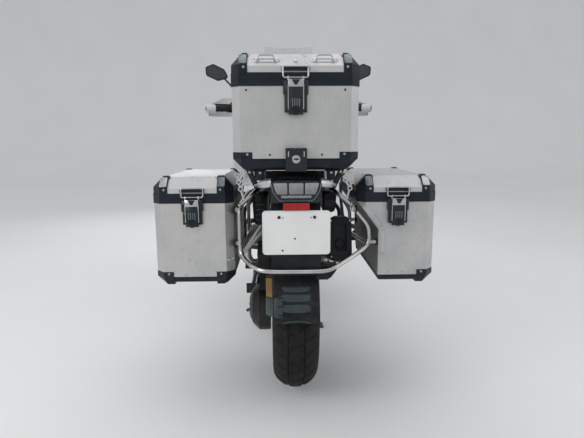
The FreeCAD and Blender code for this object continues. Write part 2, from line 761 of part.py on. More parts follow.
def make_frame():
    """Trellis front frame, bolted tail frame, pivot plates and steering head."""
    head = on_fork(0, S.head_height)
    tunnel = S.tunnel_half - S.rail_radius - 4
    head_ahead = head.y - AXLE_Y
    # Side, ahead and height of each corner of a frame tube on the right
    rails = [
        [(26, head_ahead - 15.3, head.z + 2.7), (tunnel, 980, S.rail_height + 68),
         (tunnel, 830, S.rail_height), (S.rail_half, 700, S.rail_height),
         (S.rail_half, 330, S.rail_height), (S.tail_rail_half, 60, TAIL_RAIL),
         (S.tail_rail_half, -190, TAIL_RAIL)],
        [(24, head_ahead - 3.3, head.z - 29.3), (tunnel, 990, S.engine_top + 70),
         (tunnel, 930, S.engine_top + 24)],
        [(tunnel, 830, S.rail_height), (S.plate_inside + 7, 590, 600)],
        [(S.plate_inside + 7, 560, 560), (S.rail_half - 4, 300, 690),
         (S.tail_rail_half, 40, TAIL_RAIL - 12)],
    ]
    pieces = [collar(head, FORK_UP, 34, S.stem_radius + S.running_gap, S.head_length)]
    for rail in rails:
        right = tube([at(*corner) for corner in rail], S.rail_radius, 70)
        pieces += [right, mirrored(right)]
    # Half width, ahead and height of each cross tube
    for half, ahead, height in (
        (tunnel, 830, S.rail_height), (S.rail_half, 478, S.rail_height),
        (S.tail_rail_half, -40, TAIL_RAIL),
    ):
        pieces.append(rod(at(-half, ahead, height), at(half, ahead, height), S.rail_radius - 2))
    outline = [(600, 620), (470, 560), (462, 470), (480, 372), (575, 372), (600, 470)]
    inside = S.plate_inside
    plate = extruded([at(inside, ahead, height) for ahead, height in outline], X * S.plate_thickness)
    plate = plate.cut(rod(at(0, S.pivot_ahead, S.pivot_height), at(300, S.pivot_ahead, S.pivot_height),
                          14.3))
    lug = slab((tunnel - 14, tunnel + 14), (905, 955), (S.engine_top, S.engine_top + 30))
    pieces += [plate, mirrored(plate), lug, mirrored(lug)]
    # Pads that carry the tank
    for side in (-1, 1):
        pieces.append(rod(at(side * tunnel, 905, S.rail_height + 34),
                          at(side * (S.tunnel_half - S.running_gap), 905, S.rail_height + 34), 12))
    pieces.append(nose_bracket(0))
    keep("main_frame", shaped("main_frame", union(pieces)))


def nose_bracket(grow):
    """Bracket that carries the cockpit fairing, ahead of the head between the fork legs."""
    half, reach = 18 + grow, S.steering_room + 24 + grow
    low = S.head_height - 14 - grow
    plan = ((-half, 32), (half, 32), (half, reach), (-half, reach))
    return extruded([on_fork(side, low, ahead) for side, ahead in plan], FORK_UP * (28 + 2 * grow))


def make_engine():
    """Crankcase with sump, front cover, gearbox and pivot boss."""
    case = block("crankcase", ("-engine_half", "engine_half"), ("engine_rear", "engine_front - 40"),
                 ("engine_floor", "engine_top - running_gap"))
    case = edged("crankcase_edges", case, "34",
                 lambda edge: abs(edge.tangentAt(edge.FirstParameter).y) > 0.9)
    cover = bar("front_cover", Y, "104", "40", ahead="engine_front - 40", height="cylinder_height + 40")
    alternator = bar("alternator_cover", Y, "52", "30", ahead="engine_front - 40", height="engine_top - 62")
    box = block("gearbox", ("-gearbox_half", "gearbox_half"), ("gearbox_rear", "engine_rear"),
                ("engine_floor + 40", "engine_top - 60"))
    box = edged("gearbox_edges", box, "28", lambda edge: abs(edge.tangentAt(edge.FirstParameter).y) > 0.9)
    items = [case, cover, alternator, box]
    for side in (-1, 1):
        base = "engine_half" if side > 0 else "-engine_half - 8"
        items.append(bar(f"cylinder_seat_{'right' if side > 0 else 'left'}", X, "70", "8", side=base,
                         ahead=f"cylinder_ahead + {side} * cylinder_stagger", height="cylinder_height"))
    keep("engine_case", fused("engine_case", items))


def make_cylinder(sign):
    """Finned cylinder, head and rocker cover on the right, or mirrored for the left."""
    seat = S.engine_half + 8
    centre = S.cylinder_ahead + sign * S.cylinder_stagger
    head_start = S.cylinder_reach - S.cover_depth - 62
    axis = at(0, centre, S.cylinder_height)
    pieces = [rod(axis + X * seat, axis + X * head_start, 56)]
    for index in range(int(S.fin_count)):
        start = seat + 4 + index * S.fin_pitch
        outline = rounded([
            axis + Vector(start, along * 66, up * 62) for along, up in ((-1, -1), (1, -1), (1, 1), (-1, 1))
        ], 26)
        pieces.append(Part.Face(outline).extrude(X * S.fin_thickness))
    half_width, half_depth = S.head_width / 2, S.head_depth / 2
    corners = ((-1, -1), (1, -1), (1, 1), (-1, 1))
    head = rounded([axis + Vector(head_start, a * half_width, u * half_depth) for a, u in corners], 18)
    pieces.append(Part.Face(head).extrude(X * 62))
    # Side, and how far each section of the cover is drawn in from the head each way
    covers = []
    for side, in_width, in_depth, radius in (
        (head_start + 62, 5, 5, 22), (S.cylinder_reach - 14, 12, 14, 22), (S.cylinder_reach, 30, 34, 18),
    ):
        wide, deep = half_width - in_width, half_depth - in_depth
        covers.append(rounded([axis + Vector(side, a * wide, u * deep) for a, u in corners], radius))
    pieces += [lofted([first, second]) for first, second in zip(covers, covers[1:])]
    shape = union(pieces)
    return shape if sign > 0 else mirrored(shape)


def make_sump_guard():
    """Skid plate bent up in front of the engine."""
    low = S.engine_floor - 106
    outer = [(604, low), (860, low), (985, 330), (985, 420)]
    inner = [(981, 420), (981, 332), (858, low + 4), (604, low + 4)]
    half = 132
    plate = extruded([at(-half, *corner) for corner in outer + inner], X * 2 * half)
    rib_row = []
    for side in (-72, -24, 24, 72):
        rib_row.append(slab((side - 7, side + 7), (640, 840), (low + 3, low + 8)))
    post = slab((-60, -40), (S.engine_front - 39.7, 981.5), (372, 392))
    return keep("sump_guard", shaped("sump_guard", union([plate, post, mirrored(post)] + rib_row)))


def make_swingarm():
    """Single-sided swingarm on the left with its final drive housing and strut."""
    inside = -S.arm_inside
    # Ahead, inner side, outer side, floor and top of each section of the beam
    stations = [
        (498, -60, -112, 392, 488), (456, -64, -114, 392, 488), (400, -84, -146, 388, 480),
        (330, inside, -158, 372, 456), (60, inside - 4, -166, 300, 376),
    ]
    wires = []
    for ahead, near, far, low, high in stations:
        corners = [at(near, ahead, low), at(near, ahead, high), at(far, ahead, high), at(far, ahead, low)]
        wires.append(rounded(corners, 16))
    pieces = [lofted([first, second]) for first, second in zip(wires, wires[1:])]
    reach = S.plate_inside - S.running_gap
    pieces.append(slab((-reach, reach), (470, 568), (392, 488)))
    pivot = at(0, S.pivot_ahead, S.pivot_height)
    pieces.append(rod(pivot - X * (reach + 12), pivot + X * (reach + 12), 14))
    hub = at(0, 0, AXLE_Z)
    far = S.drive_reach
    profile = [(S.arm_inside, 0), (S.arm_inside, S.drive_radius), (S.arm_inside + 44, S.drive_radius),
               (far - 12, 70), (far, 44), (far, 0)]
    face = Part.Face(Part.makePolygon([hub + Vector(-side, 0, out) for side, out in profile + profile[:1]]))
    pieces.append(face.revolve(hub, X, 360))
    pieces.append(extruded([at(-150, 66, 420), at(-150, 36, 452), at(-150, -30, 400), at(-150, 40, 360)],
                           X * 26))
    pieces.append(rod(at(-137, 50, 434), at(-137, 452, 520), 9))
    pieces.append(extruded([at(-128, 470, 480), at(-128, 452, 534), at(-128, 430, 520), at(-128, 430, 470)],
                           X * -18))
    pieces.append(slab((-26, 26), (425, 480), (480, 512)))
    # Axle and wheel nut that hold the hub
    pieces.append(rod(hub - X * (S.arm_inside + 2), hub + X * (S.rear_hub_end + 14), S.axle_radius))
    pieces.append(rod(hub + X * (S.rear_hub_end + 0.6), hub + X * (S.rear_hub_end + 12), 24))
    keep("swingarm", shaped("swingarm", union(pieces)))


def make_shocks():
    """Rear spring strut and front spring strut, each a damper in its coil."""
    items = []
    head = on_fork(0, S.head_height)
    for foot, top, radius in (
        (at(0, 452, 513), at(0, 470, S.rail_height - 12), 30),
        (arm_cross() + Vector(0, 22, 44), head - Vector(0, 45.3, 69.3), 27),
    ):
        run = top - foot
        items.append(rod(foot, top, 12))
        wraps = 6
        for index in range(wraps):
            share = 0.2 + 0.62 * index / (wraps - 1)
            torus = Part.makeTorus(radius, 6, foot + run * share, run)
            items.append(torus)
        items.append(rod(foot + run * 0.12, foot + run * 0.88, radius - 5))
        items.append(rod(foot + run * 0.08, foot + run * 0.15, radius + 8))
        items.append(rod(foot + run * 0.86, foot + run * 0.93, radius + 8))
    half = len(items) // 2
    keep("spring_struts", shaped("spring_struts",
                                 Part.makeCompound([union(items[:half]), union(items[half:])])))


def arm_corners():
    """Corners of the front arm's right tube, from the engine to the ball joint."""
    eye = on_fork(0, S.ball_height)
    return [at(118, 905, S.engine_top - 205), at(118, 1010, 500), Vector(12, eye.y - 22, eye.z - 6)]


def arm_cross():
    """Point in the middle plane, level with the cross tube that carries the front strut."""
    knee, tip = arm_corners()[1:]
    cross = knee + (tip - knee) * 0.351
    return Vector(0, cross.y, cross.z)


def make_front_arm():
    """Wishbone from the engine to the ball joint on the steering axis."""
    eye, cross = on_fork(0, S.ball_height), arm_cross()
    pieces = [collar(eye, FORK_UP, 26, 10 + S.running_gap, 26)]
    side = tube(arm_corners(), 13, 60)
    side = side.cut(slab((0, S.engine_half + 0.4), (600, 920.4), (300, 660)))
    pieces += [side, mirrored(side)]
    middle = cross + Z * 15.8
    pieces.append(rod(middle - X * 70, middle + X * 70, 12))
    pieces.append(Part.makeBox(44, 46, 29.6, cross + Vector(-22, -2, 12.8)))
    shape = union(pieces).cut(rod(eye - FORK_UP * 40, eye + FORK_UP * 40, 10 + S.running_gap))
    keep("telelever_arm", shaped("telelever_arm", shape))


def make_exhaust():
    """Headers to a collector under the gearbox and a link pipe to the silencer."""
    low, high = S.collector_height - 52, S.collector_height + 26
    box = rounded([at(-92, 640, low), at(92, 640, low), at(92, 640, high), at(-92, 640, high)], 18)
    pieces = [Part.Face(box).extrude(Y * 170)]
    for sign in (-1, 1):
        port = S.cylinder_ahead + sign * S.cylinder_stagger
        under = S.cylinder_height - S.head_depth / 2
        pieces.append(tube([
            at(sign * 244, port, under), at(sign * 244, port, 330),
            at(sign * 160, port - 20, S.collector_height - 14),
            at(sign * 80, port - 60, S.collector_height - 14),
        ], S.header_radius, 60))
    front = silencer_point(1.0)
    pieces.append(tube([
        at(60, 670, S.collector_height - 8), at(174, 650, S.collector_height - 8), at(177, 610, 402),
        front + Vector(0, 70, -40), front,
    ], S.header_radius + 3, 70))
    keep("exhaust_pipes", shaped("exhaust_pipes", union(pieces)))


def silencer_point(share):
    """Point on the silencer's middle line, from its rear end forward."""
    fall = math.radians(S.silencer_slope)
    run = Vector(0, math.cos(fall), -math.sin(fall)) * S.silencer_length
    return at(S.silencer_side, S.silencer_rear, S.silencer_centre) + run * share


def make_silencer():
    """Silencer: a tall rounded can that tapers at its front, with an end cap and outlet."""
    fall = math.radians(S.silencer_slope)
    upward = Vector(0, math.sin(fall), math.cos(fall))
    # Share of the length from the rear, and share of the full section, of each station
    stations = [(0.0, 0.93), (0.04, 1.0), (0.78, 1.0), (0.985, 0.42)]
    turns = ((-1, -1), (1, -1), (1, 1), (-1, 1))
    wires = []
    for share, scale in stations:
        centre = silencer_point(share)
        half_side, half_up = S.silencer_width / 2 * scale, S.silencer_height / 2 * scale
        corners = [centre + X * half_side * across + upward * half_up * up for across, up in turns]
        wires.append(rounded(corners, 34 * scale))
    pieces = [lofted([first, second]) for first, second in zip(wires, wires[1:])]
    can = union(pieces)
    rear = silencer_point(0)
    back = (silencer_point(1) - rear).normalize()
    corners = [rear + X * 25 * across + upward * (50 * up + 4) for across, up in turns]
    can = can.cut(Part.Face(rounded(corners, 14)).extrude(back * 10))
    outlet = rear - upward * 18 + back * 8
    can = can.cut(rod(outlet, outlet + back * 60, 19))
    keep("silencer", shaped("silencer", can))


# Bodywork

def make_tank():
    """Fuel tank: a saddle over the frame with side lobes and a filler."""
    low, high, wide = S.rail_height - 30, TANK_TOP, S.tank_half
    # Ahead, half width, floor, top, corner radius and narrowing of each section
    stations = [
        (S.tank_rear, 150, low + 50, high - 155, 30, 50), (S.tank_rear + 90, 200, low, high - 80, 60, 90),
        (950, wide + 40, low, high - 8, 70, 120), (1020, wide, low + 60, high, 60, 110),
        (S.tank_front, 170, low + 130, high - 24, 40, 80),
    ]
    wires = [
        hoop(half, floor, top, ahead, radius, pinch) for ahead, half, floor, top, radius, pinch in stations
    ]
    shape = union([lofted([first, second]) for first, second in zip(wires, wires[1:])])
    column = on_fork(0, S.head_height)
    front = column.y - AXLE_Y
    tunnel = extruded([at(-S.tunnel_half, *corner) for corner in (
        (600, 600), (600, TUNNEL_TOP), (front - 172.3, TUNNEL_TOP), (front + 2.7, column.z + 62.7),
        (front + 172.7, column.z + 102.7), (front + 172.7, 600),
    )], X * 2 * S.tunnel_half)
    filler = Part.makeCylinder(44, 30, at(0, 930, TANK_TOP - 24), Vector(0, -0.05, 1))
    # Room behind the steering axis: all round for the stem, wider where fork and bridge swing
    head = rod(on_fork(0, 800), on_fork(0, 1400), 94)
    swing = rod(on_fork(0, 700), on_fork(0, S.bar_height), S.steering_room + 16)
    behind = extruded([on_fork(0, 690, -23), on_fork(-300, 690, -243), on_fork(300, 690, -243)],
                      FORK_UP * 700)
    tank = union([shape, filler]).cut(tunnel).cut(head).cut(swing.cut(behind))
    keep("fuel_tank", shaped("fuel_tank", tank))
    return tank


def make_tank_panels(tank):
    """Side panels that stand off the tank and widen forward."""
    half, level = S.tank_half + 42, S.rail_height
    # Ahead, outer side, floor and top of each section
    stations = [
        (800, half, level, level + 80), (930, S.panel_reach - 22, level - 60, level + 150),
        (1040, S.panel_reach, level - 70, level + 180), (1075, S.panel_reach - 16, level - 30, level + 160),
    ]
    wires = []
    for ahead, far, low, high in stations:
        corners = [(half - 60, low), (far, low + 20), (far - 8, high - 20), (half - 60, high)]
        wires.append(rounded([at(side, ahead, height) for side, height in corners], 8))
    shape = union([lofted([first, second]) for first, second in zip(wires, wires[1:])])
    keep("tank_panels", shaped("tank_panels", both(shape.cut(tank))))


def make_airbox():
    """Airbox between the frame rails under the tank."""
    half, floor = S.tunnel_half - 2 * S.rail_radius - 14, S.engine_top + 30
    lip = floor + 10 + (TUNNEL_TOP - floor - 10) * 0.425
    wires = [
        hoop(half - 20, floor + 10, lip, 700, 14), hoop(half, floor, TUNNEL_TOP - 24, 800, 20),
        hoop(half, floor + 10, TUNNEL_TOP - 12, 960, 20),
        hoop(half - 50, TUNNEL_TOP - 142, TUNNEL_TOP - 12, 1020, 20),
    ]
    shape = union([lofted([first, second]) for first, second in zip(wires, wires[1:])])
    cross = rod(at(-300, 830, S.rail_height), at(300, 830, S.rail_height), S.rail_radius - 1.7)
    keep("airbox", shaped("airbox", shape.cut(cross)))


def make_nose():
    """Cockpit fairing with a beak over the front wheel."""
    crest = S.screen_foot - S.running_gap
    # Distance behind the front axle, half width, floor and top of each section
    stations = [
        (285, 160, 970, crest), (220, 156, 930, crest), (132, 136, 900, 1092), (90, 104, 858, 960),
        (-110, 36, 812, 850),
    ]
    wires = [
        hoop(half, low, high, S.wheelbase - behind, 14, half * 0.25) for behind, half, low, high in stations
    ]
    shape = union([lofted([first, second]) for first, second in zip(wires, wires[1:])])
    column = rod(on_fork(0, 700), on_fork(0, 1500), S.steering_room)
    lamp = slab((-118, 118), (S.wheelbase - 165, S.wheelbase - 10), (940, 1076))
    shape = shape.cut(column).cut(nose_bracket(S.running_gap)).cut(lamp)
    keep("nose_fairing", shaped("nose_fairing", shape))


def make_headlamp():
    """Two round lamps behind one lens block in the nose."""
    lens = block("lens_block", ("-117.5", "117.5"), ("wheelbase - 164.7", "wheelbase - 134"),
                 ("940.3", "1075.7"))
    lens = edged("lens_edges", lens, "22", lambda edge: abs(edge.tangentAt(edge.FirstParameter).y) > 0.9)
    items = [lens]
    for side in ("-58", "58"):
        items.append(bar(f"lamp{side.replace('-', '_')}", Y, "50", "22", side=side,
                         ahead="wheelbase - 138", height="1008"))
    keep("headlamp", fused("headlamp", items))


def make_screen():
    """Curved windscreen that narrows to its top, on two stays."""
    foot, crest = S.screen_foot, S.screen_top
    wires = []
    # Distance of the middle behind the front axle, height, half width, and the sides' sweep back
    for behind, height, half, sweep in (
        (226, foot, S.screen_half - 20, 72), (360, (foot + crest) / 2, S.screen_half, 60),
        (500, crest, S.screen_half - 36, 34),
    ):
        outer, inner = (
            Part.Arc(by_front(-half, back + sweep, height), by_front(0, back, height),
                     by_front(half, back + sweep, height)).toShape()
            for back in (behind, behind + S.screen_wall)
        )
        ends = [
            Part.makeLine(outer.Vertexes[1].Point, inner.Vertexes[1].Point),
            Part.makeLine(inner.Vertexes[0].Point, outer.Vertexes[0].Point),
        ]
        wires.append(Part.Wire([outer, ends[0], inner, ends[1]]))
    keep("windscreen", shaped("windscreen", union([lofted(wires[:2]), lofted(wires[1:])])))


def make_instruments():
    """Instrument panel behind the screen on a bracket from the fairing."""
    panel = rounded([
        by_front(side, behind, height)
        for side, behind, height in ((-82, 360, 1192), (82, 360, 1192), (88, 384, 1264), (-88, 384, 1264))
    ], 14)
    shape = Part.Face(panel).extrude(Vector(0, 26, 9))
    stays = []
    for side in (-34, 34):
        stays.append(tube([
            by_front(side, 248, S.screen_foot), by_front(side, 248, S.screen_foot + 16),
            by_front(side, 342, 1222),
        ], 5, 14))
    keep("instrument_panel", shaped("instrument_panel", union([shape] + stays)))


def make_seats():
    """Rider and passenger seats as plain soft solids."""
    rider_top = S.rail_height + S.rider_seat_rise
    pillion_top = TAIL_RAIL + S.pillion_seat_rise
    rider_rows = [(352, S.seat_half - 10, rider_top + 8), (560, S.seat_half - 20, rider_top - 14),
                  (732, 78, rider_top + 14)]
    pillion_rows = [(62, 118, pillion_top + 4), (200, 140, pillion_top), (344, 150, pillion_top - 12)]
    # Name, height of the rail under it, and ahead, half width and top of each section
    for label, rail, rows in (
        ("rider_seat", S.rail_height, rider_rows), ("pillion_seat", TAIL_RAIL, pillion_rows),
    ):
        base = rail + S.rail_radius + S.running_gap
        wires = [hoop(half, base, high, ahead, 22, 24) for ahead, half, high in rows]
        shape = union([lofted([first, second]) for first, second in zip(wires, wires[1:])])
        keep(label, shaped(label, shape))


def make_crash_bars():
    """Tubular guards round cylinders and tank on each side."""
    radius = S.guard_tube
    lower = tube([
        at(145, 893, 372), at(250, 935, 374), at(352, 950, 402), at(398, 890, 475), at(396, 720, 520),
        at(300, 668, 556), at(146, 690, 590),
    ], radius, 70)
    feet = [slab((S.engine_half + S.running_gap, S.engine_half + 8), (ahead - 20, ahead + 20),
                 (height - 18, height + 18))
            for ahead, height in ((893, 374), (700, 590))]
    upper = tube([
        at(398, 880, 480), at(404, 915, 640), at(404, 1045, 770), at(320, 1130, 806), at(150, 1076, 848),
        at(109.6, 1062, 856),
    ], radius, 70)
    brace = tube([at(345, 948, 398), at(330, 1096, 640), at(330, 1118, 800)], radius - 3, 70)
    shape = union([lower, upper, brace] + feet)
    keep("crash_bars", shaped("crash_bars", both(shape)))


def make_fog_lamps():
    """Round auxiliary lamps clamped to the crash bars."""
    lamp = union([rod(at(262, 1128, 762), at(262, 1170, 762), 36),
                  rod(at(262, 1170, 762), at(262, 1178, 762), 31),
                  slab((254, 270), (1098, 1146), (780, 836))])
    bar_run = rod(at(320, 1130, 806), at(150, 1076, 848), S.guard_tube + S.running_gap)
    keep("fog_lamps", shaped("fog_lamps", both(lamp.cut(bar_run))))


def make_footpegs():
    """Rider's and passenger's pegs on their brackets, and the foot levers."""
    wall = S.plate_inside + S.plate_thickness + S.running_gap
    peg = rod(at(wall + 10, 520, 362), at(wall + 118, 520, 362), 12)
    tread = slab((wall + 40, wall + 116), (500, 540), (356, 377))
    plate = slab((wall, wall + 12), (490, 560), (350, 420))
    rear = rod(at(222, 292, 556), at(318, 292, 556), 11)
    rail = S.rail_half + S.rail_radius + S.running_gap
    level = S.rail_height
    hanger = tube([at(rail + 7, 376, level - 10), at(222, 316, level - 110), at(222, 292, 550)], 9, 50)
    clamp = slab((rail, rail + 12), (362, 396), (level - 18, level + 6))
    toe = tube([at(wall + 6, 545, 362), at(wall + 8, 576, 356), at(209, 606, 350), at(209, 720, 345),
                at(176, 728, 345)], 5, 24)
    right = union([peg, tread, plate, toe])
    passenger = union([hanger, rear, clamp])
    keep("footpegs", shaped("footpegs", Part.makeCompound([right, mirrored(right), passenger,
                                                           mirrored(passenger)])))


# Tail and luggage carriers

def make_tail():
    """Tail: undertray, lamp surround with side cheeks and the mudguard below."""
    half = S.tail_rail_half - S.rail_radius - 6
    low, high = TAIL_RAIL - 42, TAIL_RAIL + 30
    tray = lofted([hoop(half, low, high, -150, 8), hoop(half, low - 4, TAIL_RAIL + 4, 55, 8)])
    tray = tray.cut(rod(at(-half, -40, TAIL_RAIL), at(half, -40, TAIL_RAIL),
                        S.rail_radius - 1.7))
    back = extruded([
        at(-half, -150, low), at(-half, -150, high), at(-half, -S.lamp_rear + 30, high + 8),
        at(-half, -S.lamp_rear + 26, low),
    ], X * 2 * half)
    # Ahead and height of each corner of the mudguard's side
    fender_side = [
        (-236, low), (-272, low), (-S.plate_rear + 12, PLATE_FLOOR + 56),
        (-S.plate_rear + 10, PLATE_FLOOR - 74), (-S.plate_rear + 16, PLATE_FLOOR - 78),
        (-S.plate_rear + 30, PLATE_FLOOR + 56),
    ]
    fender = extruded([at(-84, *corner) for corner in fender_side], X * 168)
    carrier = slab((-52, 52), (-S.plate_rear + S.plate_thickness + S.running_gap, -S.plate_rear + 22),
                   (PLATE_FLOOR + 36, PLATE_FLOOR + 104))
    cheek_inside = S.lamp_half + 0.6
    wings = slab((-cheek_inside + S.running_gap, cheek_inside - S.running_gap),
                 (-S.lamp_rear + 38, -S.lamp_rear + 74), (TAIL_RAIL - 10, TAIL_RAIL + 26))
    keep("tail_unit", shaped("tail_unit", union([tray, back, fender, wings, carrier])))
    cheek = extruded([
        at(side, -S.lamp_rear + 36, height)
        for side, height in ((cheek_inside, TAIL_RAIL - 20), (128, TAIL_RAIL - 16), (128, TAIL_RAIL + 42),
                             (cheek_inside, TAIL_RAIL + 50))
    ], Y * 42)
    keep("tail_cheeks", shaped("tail_cheeks", both(cheek)))
    lamp_top = LAMP_FLOOR + S.lamp_height
    lamp = rounded([
        at(-S.lamp_half, -S.lamp_rear, LAMP_FLOOR), at(S.lamp_half, -S.lamp_rear, LAMP_FLOOR),
        at(S.lamp_half - 4, -S.lamp_rear, lamp_top), at(-S.lamp_half + 4, -S.lamp_rear, lamp_top),
    ], 8)
    return shaped("tail_lamp_body", Part.Face(lamp).extrude(Y * 25.6))


def make_plate(lamp):
    """Blank number plate with its holes, and the reflector that goes with the lamp."""
    body = DOC.addObject("PartDesign::Body", "number_plate")
    place(body, ahead="-plate_rear + plate_thickness", height="rail_height + tail_rail_rise - plate_drop")
    half = "plate_width / 2"
    corners = [(f"-{half}", "0"), (half, "0"), (half, "plate_height"), (f"-{half}", "plate_height")]
    padded(body, drawn(body, "XZ_Plane", "plate_outline", corners), "plate_thickness")
    for index, (side, height) in enumerate((("-57", "plate_height - 22"), ("60", "plate_height - 22"))):
        pocketed(body, ringed(body, "XZ_Plane", f"plate_hole{index}", ["3"], (side, height)),
                 "4 * plate_thickness")
    DOC.recompute()
    edges = [f"Edge{number}" for number, edge in enumerate(body.Tip.Shape.Edges, start=1)
             if edge.Length < S.plate_thickness + 0.1 and len(edge.Vertexes) == 2]
    fillet = body.newObject("PartDesign::Fillet", "plate_corners")
    fillet.Base = (fillet.BaseFeature, edges)
    fillet.Radius = 12
    keep("number_plate", body)
    lamp_floor = "rail_height + tail_rail_rise - lamp_drop"
    rim = block("reflector_body", ("-reflector_width / 2", "reflector_width / 2"),
                ("-plate_rear - 4", "-plate_rear + 11.6"),
                (f"{lamp_floor} - reflector_height - running_gap", f"{lamp_floor} - running_gap"))
    reflector = edged("reflector", rim, "3", lambda edge: abs(edge.tangentAt(edge.FirstParameter).y) > 0.9)
    pair = DOC.addObject("Part::Compound", "tail_lamp")
    pair.Links = [lamp, reflector]
    keep("tail_lamp", pair)


def make_hugger():
    """Close guard behind and over the rear tyre, on an arm from the final drive."""
    inner = S.rear_tyre_radius + S.hugger_gap
    half, wall = S.hugger_half, S.guard_wall
    profile = [
        (-half, inner - 14), (-half + wall, inner - 14), (-half + wall + 2, inner),
        (half - wall - 2, inner), (half - wall, inner - 14), (half, inner - 14),
        (half, inner + wall - 3), (half - 4, inner + wall), (-half + 4, inner + wall),
        (-half, inner + wall - 3),
    ]
    hub = at(0, 0, AXLE_Z)
    face = Part.Face(Part.makePolygon([hub + Vector(side, -out, 0) for side, out in profile + profile[:1]]))
    face.rotate(hub, X, -S.hugger_low)
    shell = face.revolve(hub, X * -1, S.hugger_high - S.hugger_low)
    pieces = [shell]
    for degrees in range(14, 42, 5):
        rib = slab((-half + 18, half - 18), (-inner - wall - 4, -inner - 1), (AXLE_Z - 2.5, AXLE_Z + 2.5))
        rib.rotate(hub, X, -degrees)
        pieces.append(rib)
    arm = extruded([
        at(-137, -36, 500), at(-137, -60, 575), at(-137, -148, 644), at(-137, -214, 606), at(-137, -110, 500),
    ], X * (138 - half))
    arm = arm.cut(rod(at(-half - 12, 0, AXLE_Z), at(0, 0, AXLE_Z), S.rear_tyre_radius + 5))
    post = slab((-137, -115), (-70, -40), (S.rear_tyre_radius + S.rear_lift + 88, 520))
    keep("rear_hugger", shaped("rear_hugger", union(pieces + [arm, post])))
    seat = AXLE_Z + 118
    body = slab((-112, -66), (-92, -30), (seat - 56, seat + 26))
    slot = Part.makeCylinder(S.rear_disc_radius + 4, S.disc_thickness + 6,
                             at(-S.rear_hub_half - S.disc_thickness - 3, 0, AXLE_Z), X)
    keep("rear_caliper", shaped("rear_caliper",
                                body.cut(slot).cut(rod(at(-400, 0, AXLE_Z), at(0, 0, AXLE_Z),
                                                       S.drive_radius + S.running_gap))))


def make_racks():
    """Tubular pannier racks joined behind the wheel and to the tail frame."""
    radius, rear, front = S.rack_tube, -S.pannier_rear + 18, S.pannier_rear - 14
    inside, low, high, right = S.rack_inside, S.rack_floor, S.rack_top, S.rack_right_low
    behind = -S.rear_tyre_radius + 44
    slant = S.cutout_height + 4
    loops = [
        [at(-inside, front, low), at(-inside, front, high), at(-inside, rear, high), at(-inside, rear, low),
         at(-128, behind, low - 40), at(128, behind, low - 40), at(right - 24, rear, low - 4),
         at(right, rear, low + 40), at(right, rear, slant), at(inside, rear, high),
         at(inside, front, high), at(right, front, slant), at(right, front, low)],
        [at(-inside, front, low + 4), at(-inside, rear, low + 4)],
        [at(right, front, low + 4), at(right, rear, low + 60)],
    ]
    for side in (-1, 1):
        wall = S.pannier_inside if side < 0 else S.cutout_inside
        upright = inside if side < 0 else right
        for ahead in (rear, front):
            loops.append([at(side * (inside + 2), ahead, high - 14),
                          at(side * (S.pannier_inside - S.running_gap), ahead, high - 14)])
            loops.append([at(side * (upright + 2), ahead, low + 62),
                          at(side * (wall - S.running_gap), ahead, low + 62)])
        loops.append([at(side * inside, rear, high - 2), at(side * 140, rear + 20, TAIL_RAIL - 10),
                      at(side * 126, rear + 90, TAIL_RAIL)])
        rail = S.rail_half + S.rail_radius
        loops.append([at(side * inside, front, high - 2), at(side * 160, front + 8, S.rail_height),
                      at(side * (rail + 8), 340, S.rail_height)])
    keep("pannier_racks", shaped("pannier_racks", union([tube(points, radius, 34) for points in loops])))


def make_carrier():
    """Carrier plate under the top case on four posts and two struts."""
    top = TOP_CASE_FLOOR - S.running_gap
    plate = slab((-150, 150), (-256, 36), (top - 12, top))
    for side in (-1, 1):
        plate = plate.cut(slab(sorted((side * 30, side * 118)), (-200, -30), (top - 20, top + 8)))
    pieces = [plate]
    rail_top = TAIL_RAIL + S.rail_radius + S.running_gap
    for side in (-S.tail_rail_half, S.tail_rail_half):
        for ahead in (-186, 0):
            pieces.append(slab((side - 9, side + 9), (ahead, ahead + 34), (rail_top, top - 6)))
    keep("top_carrier", shaped("top_carrier", union(pieces)))


# Cases

def octagon(side, rear, front, chamfer, grow="0"):
    """Plan of a case with cut corners; side and ends are (low, high) on the sheet."""
    low, high = f"({side[0]}) - ({grow})", f"({side[1]}) + ({grow})"
    back, ahead = f"({rear}) - ({grow})", f"({front}) + ({grow})"
    cut_size = f"({chamfer})"
    return [
        (f"{low} + {cut_size}", back), (f"{high} - {cut_size}", back), (high, f"{back} + {cut_size}"),
        (high, f"{ahead} - {cut_size}"), (f"{high} - {cut_size}", ahead), (f"{low} + {cut_size}", ahead),
        (low, f"{ahead} - {cut_size}"), (low, f"{back} + {cut_size}"),
    ]


def hollowed(body, feature):
    """Shell a solid to the case wall, open at its top."""
    DOC.recompute()
    heights = [face.CenterOfMass.z for face in feature.Shape.Faces]
    thickness = body.newObject("PartDesign::Thickness", f"{body.Name}_wall")
    thickness.Base = (feature, [f"Face{heights.index(max(heights)) + 1}"])
    thickness.Join = "Intersection"
    thickness.Reversed = True
    bind(thickness, {"Value": "case_wall"})


def ring_body(label, plan_of, low, height, inner, notch=None):
    """Flat ring round a case: its plan less the same plan drawn in."""
    body = DOC.addObject("PartDesign::Body", label)
    place(body, height=low)
    padded(body, drawn(body, "XY_Plane", f"{label}_outer", plan_of("2")), height)
    pocket = pocketed(body, drawn(body, "XY_Plane", f"{label}_inner", plan_of(f"-({inner})")),
                      f"3 * ({height})")
    if notch:
        pocket = pocketed(body, drawn(body, "XZ_Plane", f"{label}_notch", notch), "4 * pannier_depth")
    return body


